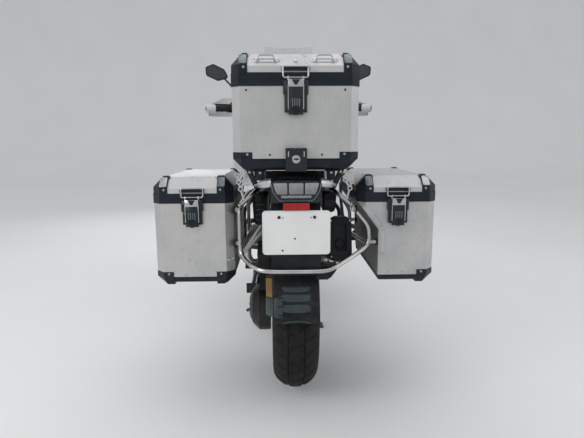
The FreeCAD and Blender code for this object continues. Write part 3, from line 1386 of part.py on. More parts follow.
def make_case(name, side, rear, front, floor, base, height, rim, lip, bevel, notch=None):
    """Shell, base, rims and lid of one case; notch is the cut-out's outline from behind."""
    plan = lambda grow: octagon(side, rear, front, "case_chamfer", grow)
    shell = DOC.addObject("PartDesign::Body", f"{name}_shell")
    place(shell, height=f"{floor} + {base}")
    feature = padded(shell, drawn(shell, "XY_Plane", f"{name}_plan", plan("0")), height)
    if notch:
        feature = pocketed(shell, drawn(shell, "XZ_Plane", f"{name}_notch", notch(f"{floor} + {base}")),
                           "4 * pannier_depth")
    hollowed(shell, feature)

    foot = DOC.addObject("PartDesign::Body", f"{name}_foot")
    place(foot, height=floor)
    sole = octagon(side, rear, front, "case_chamfer + foot_taper", "1")
    taper = foot.newObject("PartDesign::AdditiveLoft", f"{name}_foot_taper")
    taper.Profile = drawn(foot, "XY_Plane", f"{name}_sole", sole)
    taper.Sections = [drawn(foot, "XY_Plane", f"{name}_foot_plan", plan("1"), lift=f"{base} - 0.2")]
    if notch:
        pocketed(foot, drawn(foot, "XZ_Plane", f"{name}_foot_notch", notch(floor)), "4 * pannier_depth")

    body_rim = ring_body(f"{name}_rim", plan, f"{floor} + {base} + {height}", f"{rim} - lid_gap",
                         "case_wall + 7")
    lid_rim = ring_body(f"{name}_lid_rim", plan, f"{floor} + {base} + {height} + {rim}", f"{rim} - 0.1",
                        "case_wall + 7")
    lid = DOC.addObject("PartDesign::Body", f"{name}_lid")
    place(lid, height=f"{floor} + {base} + {height} + 2 * {rim}")
    padded(lid, drawn(lid, "XY_Plane", f"{name}_lid_plan", plan("0")), lip)
    lower = drawn(lid, "XY_Plane", f"{name}_bevel_foot", plan("0"), lift=lip)
    upper = drawn(lid, "XY_Plane", f"{name}_bevel_top", plan("-bevel_inset"), lift=f"{lip} + {bevel}")
    loft = lid.newObject("PartDesign::AdditiveLoft", f"{name}_bevel")
    loft.Profile = lower
    loft.Sections = [upper]
    pocketed(lid, drawn(lid, "XY_Plane", f"{name}_lid_inside", plan("-case_wall")), f"2 * ({lip})")
    under = drawn(lid, "XY_Plane", f"{name}_inner_foot", plan("-case_wall"), lift=lip)
    over = drawn(lid, "XY_Plane", f"{name}_inner_top", plan("-bevel_inset - case_wall / 2"),
                 lift=f"{lip} + {bevel} - case_wall")
    hollow = lid.newObject("PartDesign::SubtractiveLoft", f"{name}_inner_bevel")
    hollow.Profile = under
    hollow.Sections = [over]
    keep(f"{name}_lid", lid)
    return shell, foot, body_rim, lid_rim


def make_cases():
    """The three cases, with the pieces that they share by kind."""
    def notch(floor):
        """Cut-out for the silencer on the inner side, from below up to the rim."""
        top = f"pannier_floor + pannier_base + pannier_body - ({floor})"
        return [
            ("pannier_inside - 40", "-40"), ("cutout_inside", "-40"),
            ("cutout_inside", f"cutout_height - ({floor})"),
            ("pannier_inside", top), ("pannier_inside - 40", top),
        ]

    top_case = make_case(
        "top_case", ("-top_case_half", "top_case_half"), "-top_case_rear", "top_case_depth - top_case_rear",
        "rail_height + top_case_rise", "top_case_base", "top_case_body", "top_case_rim", "top_case_lip",
        "top_case_bevel")
    panniers = [
        make_case(
            label, side, "-pannier_rear", "pannier_depth - pannier_rear", "pannier_floor", "pannier_base",
            "pannier_body", "pannier_rim", "pannier_lip", "pannier_bevel", cut_out)
        for label, side, cut_out in (
            ("left_pannier", ("-pannier_outside", "-pannier_inside"), None),
            ("right_pannier", ("pannier_inside", "pannier_outside"), notch),
        )
    ]
    shells, feet, rims, lid_rims = zip(top_case, *panniers)
    keep("top_case_shell", shells[0])
    for label, items in (("pannier_shells", shells[1:]), ("case_feet", feet), ("case_rims", rims)):
        group = DOC.addObject("Part::Compound", label)
        group.Links = list(items)
        keep(label, group)
    return dict(zip(("top_case", "left_pannier", "right_pannier"), lid_rims))


# Places of the three cases: middle, half width, rear, front, joint height and rim height, and
# its latch's half width and drop
CASES = {
    "top_case": (0, S.top_case_half, -S.top_case_rear, S.top_case_depth - S.top_case_rear,
                 TOP_CASE_FLOOR + S.top_case_base + S.top_case_body + S.top_case_rim, S.top_case_rim,
                 S.top_latch_half, S.top_latch_drop),
    "left_pannier": (-(S.pannier_outside + S.pannier_inside) / 2,
                     (S.pannier_outside - S.pannier_inside) / 2,
                     -S.pannier_rear, S.pannier_depth - S.pannier_rear,
                     S.pannier_floor + S.pannier_base + S.pannier_body + S.pannier_rim, S.pannier_rim,
                     S.side_latch_half, S.side_latch_drop),
    "right_pannier": ((S.pannier_outside + S.pannier_inside) / 2,
                      (S.pannier_outside - S.pannier_inside) / 2,
                      -S.pannier_rear, S.pannier_depth - S.pannier_rear,
                      S.pannier_floor + S.pannier_base + S.pannier_body + S.pannier_rim, S.pannier_rim,
                     S.side_latch_half, S.side_latch_drop),
}


def make_fittings(lid_rims):
    """Hinges in front of each case and latches behind it, with their halves on the lids."""
    fixed_shapes = []
    for name, (middle, half, rear, front, joint, rim, wide, drop) in CASES.items():
        axis_ahead = front + 10
        lid_shapes = []
        for offset in (-0.55, 0.55):
            centre = middle + offset * half
            axis = at(centre, axis_ahead, joint)
            fixed = rod(axis - X * 22, axis - X * 0.3, 5).fuse(slab(
                (centre - 22, centre - S.running_gap), (front + 2, axis_ahead), (joint - rim + 3, joint - 1)))
            pin = rod(axis - X * 22, axis + X * 20, 2.2)
            fixed_shapes.append(union([fixed, pin]))
            moving = rod(axis + X * 0.3, axis + X * 22, 5).fuse(slab(
                (centre + 0.3, centre + 22), (front + 2, axis_ahead), (joint + 1, joint + rim - 2)))
            lid_shapes.append(moving.removeSplitter().cut(rod(axis - X * 30, axis + X * 30, 2.5)))
        face = rear - 2
        latch_foot = joint - rim - drop
        # Half width, ahead and height of each block of the latch
        blocks = [
            (wide, (face - 9, face - 0.2), (joint - rim - 27, joint - 4)),
            (wide - 4, (face - 9, face - 0.2), (latch_foot, joint - rim - 26)),
            (wide - 8, (face - 1, face + 2 - S.running_gap), (latch_foot, joint - rim - 1)),
            (wide * 0.58, (face - 17, face - 8), (latch_foot - 7, joint - rim + 6)),
        ]
        fixed_shapes.append(union([
            slab((middle - reach, middle + reach), ahead, height) for reach, ahead, height in blocks
        ]))
        wire_top = joint + rim + 18
        bail_corners = ((-wide, joint + 4), (-wide, wire_top), (wide, wire_top), (wide, joint + 4))
        bail = tube([at(middle + offset, face - 5, height) for offset, height in bail_corners], 2.6, 8)
        hinge = slab((middle - wide - 4, middle + wide + 4), (face - 7, face - 0.1),
                     (joint + rim + 4, joint + rim + 15))
        strike_pad = slab((middle - wide + 4, middle + wide - 4), (face - 1, face + 2 - S.running_gap),
                          (joint + rim + 4, joint + rim + 15))
        lid_shapes.append(union([bail, hinge, strike_pad]))
        trim = DOC.addObject("Part::Compound", f"{name}_lid_trim")
        trim.Links = [lid_rims[name], shaped(f"{name}_lid_fittings", Part.makeCompound(lid_shapes))]
        keep(f"{name}_lid_trim", trim)
    lock_face = -S.top_case_rear
    low, high = TOP_CASE_FLOOR - 7, TOP_CASE_FLOOR + 67
    lock = slab((-34, 34), (lock_face - S.latch_reach, lock_face - S.running_gap), (low, high)).cut(
        slab((-40, 40), (lock_face - 2, lock_face + 20), (low - 11, TOP_CASE_FLOOR + S.top_case_base)))
    keep("case_fittings", shaped("case_fittings", Part.makeCompound(fixed_shapes + [lock])))


# Stands

def make_centre_stand():
    """Centre stand: two splayed legs with feet, a brace and a foot lever."""
    pivot, foot = S.stand_height, S.stand_foot_ahead
    pieces = []
    for sign in (-1, 1):
        hub = at(sign * S.stand_half, S.stand_ahead, pivot)
        knee = at(sign * S.stand_half, S.stand_ahead + 8, pivot - 66)
        ankle = at(sign * S.stand_foot_half, foot, 16)
        pieces.append(rod(hub - X * 12.5, hub + X * 12.5, 20))
        pieces.append(tube([hub, knee, ankle], S.stand_tube, 60))
        pieces.append(slab((sign * S.stand_foot_half - 24, sign * S.stand_foot_half + 24),
                           (foot - 30, foot + 30), (0, 9)))
        pieces.append(slab((sign * S.stand_foot_half - 10, sign * S.stand_foot_half + 10),
                           (foot - 14, foot + 14), (4, 26)))
    pieces.append(rod(at(-S.stand_half - 4, S.stand_ahead + 14, pivot - 92),
                      at(S.stand_half + 4, S.stand_ahead + 14, pivot - 92), 11))
    pieces.append(tube([at(-124, foot - 18, 138), at(-190, foot + 4, 116), at(-243, foot + 6, 92)], 8, 40))
    shape = union(pieces)
    bore = rod(at(-200, S.stand_ahead, pivot), at(200, S.stand_ahead, pivot), 8.3)
    keep("centre_stand", shaped("centre_stand", shape.cut(bore)))


def side_stand_axis():
    """Direction of the side stand's pivot, tilted so that the leg splays outward."""
    return Vector(math.cos(math.radians(20)), 0, -math.sin(math.radians(20)))


def make_side_stand():
    """Side stand folded back along the left side."""
    axis = side_stand_axis()
    pivot = at(-S.side_stand_side, S.side_stand_ahead, S.side_stand_height)
    end = pivot - Y * S.side_stand_length
    eye = collar(pivot, axis, 17, 6.3, 22)
    leg = rod(pivot - Y * 12, end, 10)
    foot = slab((-S.side_stand_side - 30, -S.side_stand_side + 22), (end.y - AXLE_Y - 8, end.y - AXLE_Y),
                (S.side_stand_height - 24, S.side_stand_height + 24))
    shape = union([eye, leg, foot]).cut(rod(pivot - axis * 40, pivot + axis * 40, 6.3))
    keep("side_stand", shaped("side_stand", shape))


def make_stand_mounts():
    """Brackets under the engine that carry both stands."""
    axis = side_stand_axis()
    pivot = at(-S.side_stand_side, S.side_stand_ahead, S.side_stand_height)
    inside, thick = S.plate_inside, S.plate_thickness
    ears = []
    for sign in (-1, 1):
        low, high = S.stand_height - 22, 371.7
        ear = extruded([
            at(sign * inside, S.stand_ahead + offset, height)
            for offset, height in ((-24, low), (24, low), (26, high), (-56, high))
        ], X * sign * thick)
        pin = rod(at(sign * (inside + thick), S.stand_ahead, S.stand_height),
                  at(sign * (S.stand_half - 16), S.stand_ahead, S.stand_height), 8)
        ears.append(union([ear, pin]))
    bracket = slab((-inside - thick, -inside), (S.stand_ahead + 20, S.side_stand_ahead + 18),
                   (S.side_stand_height - 38, S.engine_floor - 4))
    boss = rod(pivot + axis * 76, pivot + axis * 11.5, 15)
    pin = rod(pivot + axis * 12, pivot - axis * 14, 6)
    ears[0] = union([ears[0], bracket, boss, pin])
    keep("stand_mounts", shaped("stand_mounts", Part.makeCompound(ears)))


make_wheels()
make_fork()
make_front_mudguard()
make_bars()
make_frame()
make_engine()
keep("cylinders", shaped("cylinders", Part.makeCompound([make_cylinder(-1), make_cylinder(1)])))
make_sump_guard()
make_swingarm()
make_shocks()
make_front_arm()
make_exhaust()
make_silencer()
make_tank_panels(make_tank())
make_airbox()
make_nose()
make_headlamp()
make_screen()
make_instruments()
make_seats()
make_crash_bars()
make_fog_lamps()
make_footpegs()
make_plate(make_tail())
make_hugger()
make_racks()
make_carrier()
make_fittings(make_cases())
make_centre_stand()
make_side_stand()
make_stand_mounts()

DOC.recompute()
failed = [item.Label for item in DOC.Objects if {"Invalid", "Error"} & set(item.State)]
if failed:
    raise SystemExit(f"objects that failed: {failed}")
for node in NODES:
    if node.Shape.isNull() or not node.Shape.isValid():
        raise SystemExit(f"no valid shape: {node.Label}")
os.makedirs("parts", exist_ok=True)
for node in NODES:
    node.Shape.exportStep(f"parts/{node.Label}.step")
    print(f"{node.Label}: {len(node.Shape.Solids)} solids, {node.Shape.Volume / 1000:.0f} cm3")
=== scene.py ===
"""Adventure motorcycle with alloy cases: finishes, fine detail, seats, light and camera."""

from __future__ import annotations

import json
import logging
import math
from dataclasses import dataclass
from enum import Enum
from typing import ClassVar, Sequence, Union

import bmesh
import bpy
import numpy as np
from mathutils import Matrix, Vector

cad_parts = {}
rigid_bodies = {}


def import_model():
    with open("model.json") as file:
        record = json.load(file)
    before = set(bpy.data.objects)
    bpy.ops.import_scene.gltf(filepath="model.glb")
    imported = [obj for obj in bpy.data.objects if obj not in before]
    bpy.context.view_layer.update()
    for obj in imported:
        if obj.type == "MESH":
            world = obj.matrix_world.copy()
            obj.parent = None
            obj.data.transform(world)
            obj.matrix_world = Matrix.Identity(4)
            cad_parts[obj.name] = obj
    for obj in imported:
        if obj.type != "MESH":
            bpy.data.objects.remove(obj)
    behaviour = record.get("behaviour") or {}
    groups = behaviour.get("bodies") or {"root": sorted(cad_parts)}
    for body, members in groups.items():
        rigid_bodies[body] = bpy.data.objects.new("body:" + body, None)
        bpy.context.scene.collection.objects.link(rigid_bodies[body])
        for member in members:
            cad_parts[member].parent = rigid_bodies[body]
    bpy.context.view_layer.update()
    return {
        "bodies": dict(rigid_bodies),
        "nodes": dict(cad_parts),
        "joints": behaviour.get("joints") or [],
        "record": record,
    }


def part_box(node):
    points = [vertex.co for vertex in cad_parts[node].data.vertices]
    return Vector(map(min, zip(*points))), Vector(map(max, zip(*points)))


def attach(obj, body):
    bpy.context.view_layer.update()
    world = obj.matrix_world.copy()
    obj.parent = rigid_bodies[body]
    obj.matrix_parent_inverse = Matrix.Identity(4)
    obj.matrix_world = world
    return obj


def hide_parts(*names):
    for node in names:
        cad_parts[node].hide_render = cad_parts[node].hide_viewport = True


LOG = logging.getLogger("motorcycle")
Array = np.ndarray
Number = Union[float, "Socket"]
Colour = tuple[float, float, float]
Pair = tuple[float, float]
Triple = tuple[float, float, float]

# Metres from the row frame's middle to the rear axle; millimetres from there to other places on the floor
REAR_AXLE_Y = -0.7445
WHEELBASE = 1510.0
TRAIL = 93.0
REAR_WHEEL_RADIUS = 338.0
FRONT_WHEEL_RADIUS = 325.0
RAKE = math.radians(25.5)
UP = np.array([0.0, 0.0, 1.0])
AHEAD = np.array([0.0, 1.0, 0.0])
RIGHT = np.array([1.0, 0.0, 0.0])
# Left and right, or rear and front
SIGNS = (-1, 1)
FORK_UP = np.array([0.0, -math.sin(RAKE), math.cos(RAKE)])
FORK_AHEAD = np.array([0.0, math.cos(RAKE), math.sin(RAKE)])


class Body(Enum):
    """Moving bodies that pieces ride on."""

    CHASSIS = "chassis"
    STEERING = "steering"
    FRONT_WHEEL = "front_wheel"
    REAR_WHEEL = "rear_wheel"
    TOP_LID = "top_case_lid"
    LEFT_LID = "left_pannier_lid"
    RIGHT_LID = "right_pannier_lid"


# Places and outlines


def at(side: Array | float, ahead: Array | float, height: Array | float) -> Array:
    """Gives a place in metres, or many where arrays are given.

    Args:
        side: Millimetres to the right of the middle plane.
        ahead: Millimetres ahead of the rear axle.
        height: Millimetres above the floor.

    Returns:
        Points (..., 3) in the row frame, over the shape that the three share.
    """
    return np.stack(np.broadcast_arrays(side, ahead, height), axis=-1) / 1000 + np.array([0, REAR_AXLE_Y, 0])


def on_fork(side: float, up: float, ahead: float) -> Array:
    """Gives a place in metres by the steering axis.

    Args:
        side: Millimetres to the right.
        up: Millimetres up the axis from where it meets the floor.
        ahead: Millimetres ahead of the axis, square to it.

    Returns:
        The point in the row frame.
    """
    foot = at(0, WHEELBASE + TRAIL, 0)
    return foot + (RIGHT * side + FORK_UP * up + FORK_AHEAD * ahead) / 1000


def circle(radius: float, steps: int = 16) -> Array:
    """Gives a circle's points.

    Args:
        radius: Its radius in metres.
        steps: How many points.

    Returns:
        Points (steps, 2), counter-clockwise.
    """
    turn = np.linspace(0, 2 * math.pi, steps, endpoint=False)
    return np.stack([radius * np.cos(turn), radius * np.sin(turn)], axis=1)


def rounded_box(half_a: float, half_b: float, radius: float, steps: int = 5) -> Array:
    """Gives a rectangle with round corners: each quarter of a circle moved out to its corner.

    Args:
        half_a: Half its first side.
        half_b: Half its second side.
        radius: Corner radius.
        steps: Points on each corner.

    Returns:
        Points (4 * steps, 2), counter-clockwise.
    """
    turn = np.linspace(0, math.pi / 2, steps)[None, :] + (np.arange(4) * math.pi / 2)[:, None]
    signs = np.array([[1, 1], [-1, 1], [-1, -1], [1, -1]])
    centres = signs * np.array([half_a - radius, half_b - radius])
    round_part = radius * np.stack([np.cos(turn), np.sin(turn)], axis=2)
    return (centres[:, None, :] + round_part).reshape(-1, 2)


def squarish(steps: int, across: float, up: float) -> tuple[Array, Array]:
    """Gives an oval's cosine and sine, each raised to a power below one with its sign kept.

    Args:
        steps: How many points.
        across: Power of the cosine.
        up: Power of the sine.

    Returns:
        Way across and way up of each point, from -1 to 1.
    """
    turn = np.linspace(0, 2 * math.pi, steps, endpoint=False)
    cosine, sine = np.cos(turn), np.sin(turn)
    return np.sign(cosine) * np.abs(cosine) ** across, np.sign(sine) * np.abs(sine) ** up


def smooth_path(points: Sequence[Sequence[float]], steps: int = 8) -> Array:
    """Runs a curve through points: on each span the cubic whose slope at a point joins its neighbours.

    Args:
        points: Points to pass, in metres.
        steps: Points on each span.

    Returns:
        Points (n, 3).
    """
    given = np.asarray(points, float)
    padded = np.vstack([2 * given[0] - given[1], given, 2 * given[-1] - given[-2]])
    before, start, end, after = padded[:-3], padded[1:-2], padded[2:-1], padded[3:]
    t = np.linspace(0, 1, steps, endpoint=False)[None, :, None]
    start_slope, end_slope = (end - before) / 2, (after - start) / 2
    curve = (
        start[:, None] * (2 * t**3 - 3 * t**2 + 1)
        + start_slope[:, None] * (t**3 - 2 * t**2 + t)
        + end[:, None] * (3 * t**2 - 2 * t**3)
        + end_slope[:, None] * (t**3 - t**2)
    )
    return np.vstack([curve.reshape(-1, 3), given[-1]])


def bent(points: Sequence[Array], radius: float) -> Array:
    """Rounds the corners of a line: at each a quadratic curve between the places before and after it.

    Args:
        points: Corners of the line, in metres.
        radius: How far before and after a corner its curve starts and ends, in metres.

    Returns:
        Points (n, 3).
    """
    given = np.asarray(points, float)
    corner, back, on = given[1:-1], given[:-2] - given[1:-1], given[2:] - given[1:-1]
    back_length, on_length = np.linalg.norm(back, axis=1), np.linalg.norm(on, axis=1)
    reach = np.minimum(radius, 0.45 * np.minimum(back_length, on_length))
    start = corner + back * (reach / back_length)[:, None]
    end = corner + on * (reach / on_length)[:, None]
    t = np.linspace(0, 1, 6)[None, :, None]
    curve = (1 - t) ** 2 * start[:, None] + 2 * t * (1 - t) * corner[:, None] + t**2 * end[:, None]
    return np.vstack([given[:1], curve.reshape(-1, 3), given[-1:]])


# Surfaces


@dataclass
class Surface:
    """A mesh in arrays: vertices, four-sided faces, and caps with any number of corners."""

    vertices: Array
    quads: Array
    caps: list[Array]

    def __add__(self, other: "Surface") -> "Surface":
        """Joins two surfaces into one that keeps both apart.

        Args:
            other: The second one.

        Returns:
            The joined surface.
        """
        shift = len(self.vertices)
        return Surface(
            np.vstack([self.vertices, other.vertices]),
            np.vstack([self.quads, other.quads + shift]),
            self.caps + [cap + shift for cap in other.caps],
        )

    def mirrored(self) -> "Surface":
        """Gives the same surface on the other side of the middle plane."""
        caps = [cap[::-1] for cap in self.caps]
        return Surface(self.vertices * np.array([-1, 1, 1]), self.quads[:, ::-1].copy(), caps)

    def both(self) -> "Surface":
        """Gives the surface with its mirror image."""
        return self + self.mirrored()


def joined(surfaces: Sequence[Surface]) -> Surface:
    """Joins several surfaces into one.

    Args:
        surfaces: One or more surfaces.

    Returns:
        The joined surface.
    """
    total = surfaces[0]
    for surface in surfaces[1:]:
        total = total + surface
    return total


def cells(index: Array) -> Array:
    """Gives the four corners of each cell of a grid of vertex numbers."""
    return np.stack([index[:-1, :-1], index[:-1, 1:], index[1:, 1:], index[1:, :-1]], axis=2).reshape(-1, 4)


def grid(points: Array, wrap_rows: bool = False, wrap_columns: bool = True) -> Surface:
    """Makes faces between neighbours of a grid of points, and closes the ends of a tube.

    Args:
        points: Points (rows, columns, 3).
        wrap_rows: Whether the last row joins the first.
        wrap_columns: Whether the last column joins the first.

    Returns:
        The surface.
    """
    rows, columns = points.shape[:2]
    index = np.arange(rows * columns).reshape(rows, columns)
    walk = np.hstack([index, index[:, :1]]) if wrap_columns else index
    walk = np.vstack([walk, walk[:1]]) if wrap_rows else walk
    ends = [index[0][::-1], index[-1]] if wrap_columns and not wrap_rows else []
    return Surface(points.reshape(-1, 3), cells(walk), ends)


def basis(axis: Array) -> tuple[Array, Array, Array]:
    """Gives two directions square to an axis, and the axis at length one.

    Args:
        axis: The direction.

    Returns:
        Across, along the other way, and the axis.
    """
    unit = np.asarray(axis, float) / np.linalg.norm(axis)
    helper = UP if abs(unit[2]) < 0.9 else AHEAD
    across = np.cross(helper, unit)
    across /= np.linalg.norm(across)
    return across, np.cross(unit, across), unit


def lathe(profile: Sequence[Pair], origin: Array, axis: Array, steps: int = 24) -> Surface:
    """Turns a profile round an axis: each of its points sweeps a circle.

    Args:
        profile: Way along the axis and radius of each point, in millimetres.
        origin: Start of the axis, in metres.
        axis: Direction of the axis.
        steps: Points on each circle.

    Returns:
        The closed surface.
    """
    across, other, unit = basis(axis)
    rows = np.asarray(profile, float) / 1000
    turn = np.linspace(0, 2 * math.pi, steps, endpoint=False)
    ring = np.cos(turn)[:, None] * across + np.sin(turn)[:, None] * other
    radius = np.maximum(rows[:, 1], 0.0002)
    return grid(origin + rows[:, :1, None] * unit + radius[:, None, None] * ring[None])


def sweep(path: Array, outline: Array, reference: Array = UP, closed: bool = False) -> Surface:
    """Carries an outline along a path, kept square to it by one reference direction.

    Args:
        path: Points (n, 3) of the path.
        outline: Points (k, 2): across the path, and towards the reference.
        reference: Direction that is nowhere along the path.
        closed: Whether the path is a loop.

    Returns:
        The surface, closed at its ends.
    """
    ahead = np.roll(path, -1, axis=0) - np.roll(path, 1, axis=0) if closed else np.gradient(path, axis=0)
    ahead /= np.linalg.norm(ahead, axis=1)[:, None]
    side = np.cross(ahead, reference)
    side /= np.linalg.norm(side, axis=1)[:, None]
    up = np.cross(side, ahead)
    points = path[:, None] + side[:, None] * outline[None, :, :1] + up[:, None] * outline[None, :, 1:]
    return grid(points, wrap_rows=closed)


def plate(
    origin: Array, across: Array, up: Array, outline: Array, depth: float, edge: float = 0.0006
) -> Surface:
    """Raises an outline into a plate with a bevelled rim: four rings, the outer two drawn in.

    Args:
        origin: Middle of its back face.
        across: Direction of the outline's first number.
        up: Direction of its second number.
        outline: Points (n, 2) in metres.
        depth: Thickness in metres, towards across x up.
        edge: Width of the bevel.

    Returns:
        The closed surface.
    """
    out = np.cross(across, up)
    size = np.abs(outline).max(axis=0)
    drawn = outline * (1 - edge / size)
    rings = [(drawn, 0.0), (outline, edge), (outline, depth - edge), (drawn, depth)]
    rows = [origin + ring[:, :1] * across + ring[:, 1:] * up + out * level for ring, level in rings]
    return grid(np.stack(rows))


def bolt(origin: Array, axis: Array, radius: float = 4.0, height: float = 3.5) -> Surface:
    """Makes a round bolt head with a six-sided socket, as a turned profile.

    Args:
        origin: Middle of its seat.
        axis: Direction that it stands out.
        radius: Head radius in millimetres.
        height: Head height in millimetres.

    Returns:
        The surface.
    """
    across, other, unit = basis(axis)
    levels = np.array([0, height * 0.8, height, height, height * 0.45]) / 1000
    round_part = circle(radius / 1000, 12)
    angle = np.arctan2(round_part[:, 1], round_part[:, 0])
    hexagon = round_part / radius * (0.5 * radius) / np.cos((angle % (math.pi / 3)) - math.pi / 6)[:, None]
    rings = [round_part, round_part, round_part * 0.88, hexagon, hexagon]
    rows = [origin + ring[:, :1] * across + ring[:, 1:] * other + unit * level
            for ring, level in zip(rings, levels)]
    return grid(np.stack(rows))


def washer(origin: Array, axis: Array, inner: float, outer: float, depth: float) -> Surface:
    """Makes a flat ring with a hole, its square section carried round the axis.

    Args:
        origin: Middle of its seat.
        axis: Direction that it stands out.
        inner: Radius of the hole in millimetres.
        outer: Outer radius in millimetres.
        depth: Thickness in millimetres.

    Returns:
        The surface.
    """
    across, other, unit = basis(axis)
    turn = circle(1.0, 20)
    round_part = turn[:, :1] * across + turn[:, 1:] * other
    section = np.array([(0, inner), (0, outer), (depth, outer), (depth, inner)]) / 1000
    points = origin + section[:, :1, None] * unit + section[:, 1:, None] * round_part[None]
    return grid(points, wrap_rows=True)


def rivet(origin: Array, axis: Array, radius: float = 4.2) -> Surface:
    """Makes a domed rivet head, a quarter of an ellipse turned round its axis.

    Args:
        origin: Middle of its seat.
        axis: Direction that it stands out.
        radius: Head radius in millimetres.

    Returns:
        The surface.
    """
    share = np.linspace(0, 1, 6)
    rise, reach = 1.6 * np.sin(share * math.pi / 2), radius * np.cos(share * math.pi / 2)
    return lathe(list(zip(rise, reach)), origin, axis, 14)


def rear_plate(
    side: float, ahead: float, height: float, half_width: float, half_height: float, corner: float,
    depth: float, edge: float = 0.6, steps: int = 5,
) -> Surface:
    """Makes a plate with round corners that faces the rear, with every size in millimetres.

    Args:
        side: Its middle, to the right of the middle plane.
        ahead: Its back face, ahead of the rear axle.
        height: Its middle, above the floor.
        half_width: Half its width.
        half_height: Half its height.
        corner: Radius of its corners.
        depth: Its thickness.
        edge: Width of its bevel.
        steps: Points on each corner.

    Returns:
        The closed surface.
    """
    outline = rounded_box(half_width / 1000, half_height / 1000, corner / 1000, steps)
    return plate(at(side, ahead, height), RIGHT, UP, outline, depth / 1000, edge / 1000)


def rear_bolts(places: Sequence[Pair], ahead: float, radius: float, rise: float) -> Surface:
    """Makes bolts that face the rear.

    Args:
        places: Side and height of each, in millimetres.
        ahead: Their seat, in millimetres ahead of the rear axle.
        radius: Head radius in millimetres.
        rise: Head height in millimetres.

    Returns:
        The joined surface.
    """
    return joined([bolt(at(side, ahead, height), -AHEAD, radius, rise) for side, height in places])


def closed_sheet(front: Array, back: Array) -> Surface:
    """Closes two grids of the same shape into a thin shell along their rims.

    Args:
        front: Points (rows, columns, 3) of the outer face.
        back: Points of the inner face.

    Returns:
        The closed surface.
    """
    rows, columns = front.shape[:2]
    index = np.arange(rows * columns).reshape(rows, columns)
    quads = cells(index)
    rim = np.concatenate([index[0, :-1], index[:-1, -1], index[-1, :0:-1], index[:0:-1, 0]])
    other = rim + rows * columns
    around = np.stack([rim, np.roll(rim, -1), np.roll(other, -1), other], axis=1)
    vertices = np.vstack([front.reshape(-1, 3), back.reshape(-1, 3)])
    return Surface(vertices, np.vstack([quads, quads[:, ::-1] + rows * columns, around]), [])


# Shader maths


class Socket:
    """An output in a node tree, with arithmetic that adds Math nodes."""

    def __init__(self, tree: "Shader", link: bpy.types.NodeSocket) -> None:
        """Keeps the tree and its output."""
        self.tree = tree
        self.link = link

    def _math(self, operation: str, first: Number, second: Number) -> "Socket":
        """Adds one Math node and gives its value."""
        return self.tree.node("ShaderNodeMath", {"operation": operation}, {0: first, 1: second})

    def __add__(self, other: Number) -> "Socket":
        """Sum."""
        return self._math("ADD", self, other)

    def __radd__(self, other: Number) -> "Socket":
        """Sum with a number first."""
        return self._math("ADD", other, self)

    def __sub__(self, other: Number) -> "Socket":
        """Difference."""
        return self._math("SUBTRACT", self, other)

    def __rsub__(self, other: Number) -> "Socket":
        """Difference from a number."""
        return self._math("SUBTRACT", other, self)

    def __mul__(self, other: Number) -> "Socket":
        """Product."""
        return self._math("MULTIPLY", self, other)

    def __rmul__(self, other: Number) -> "Socket":
        """Product with a number first."""
        return self._math("MULTIPLY", other, self)

    def power(self, other: Number) -> "Socket":
        """This raised to a power."""
        return self._math("POWER", self, other)

    def sine(self) -> "Socket":
        """Its sine, in radians."""
        return self._math("SINE", self, 0.0)


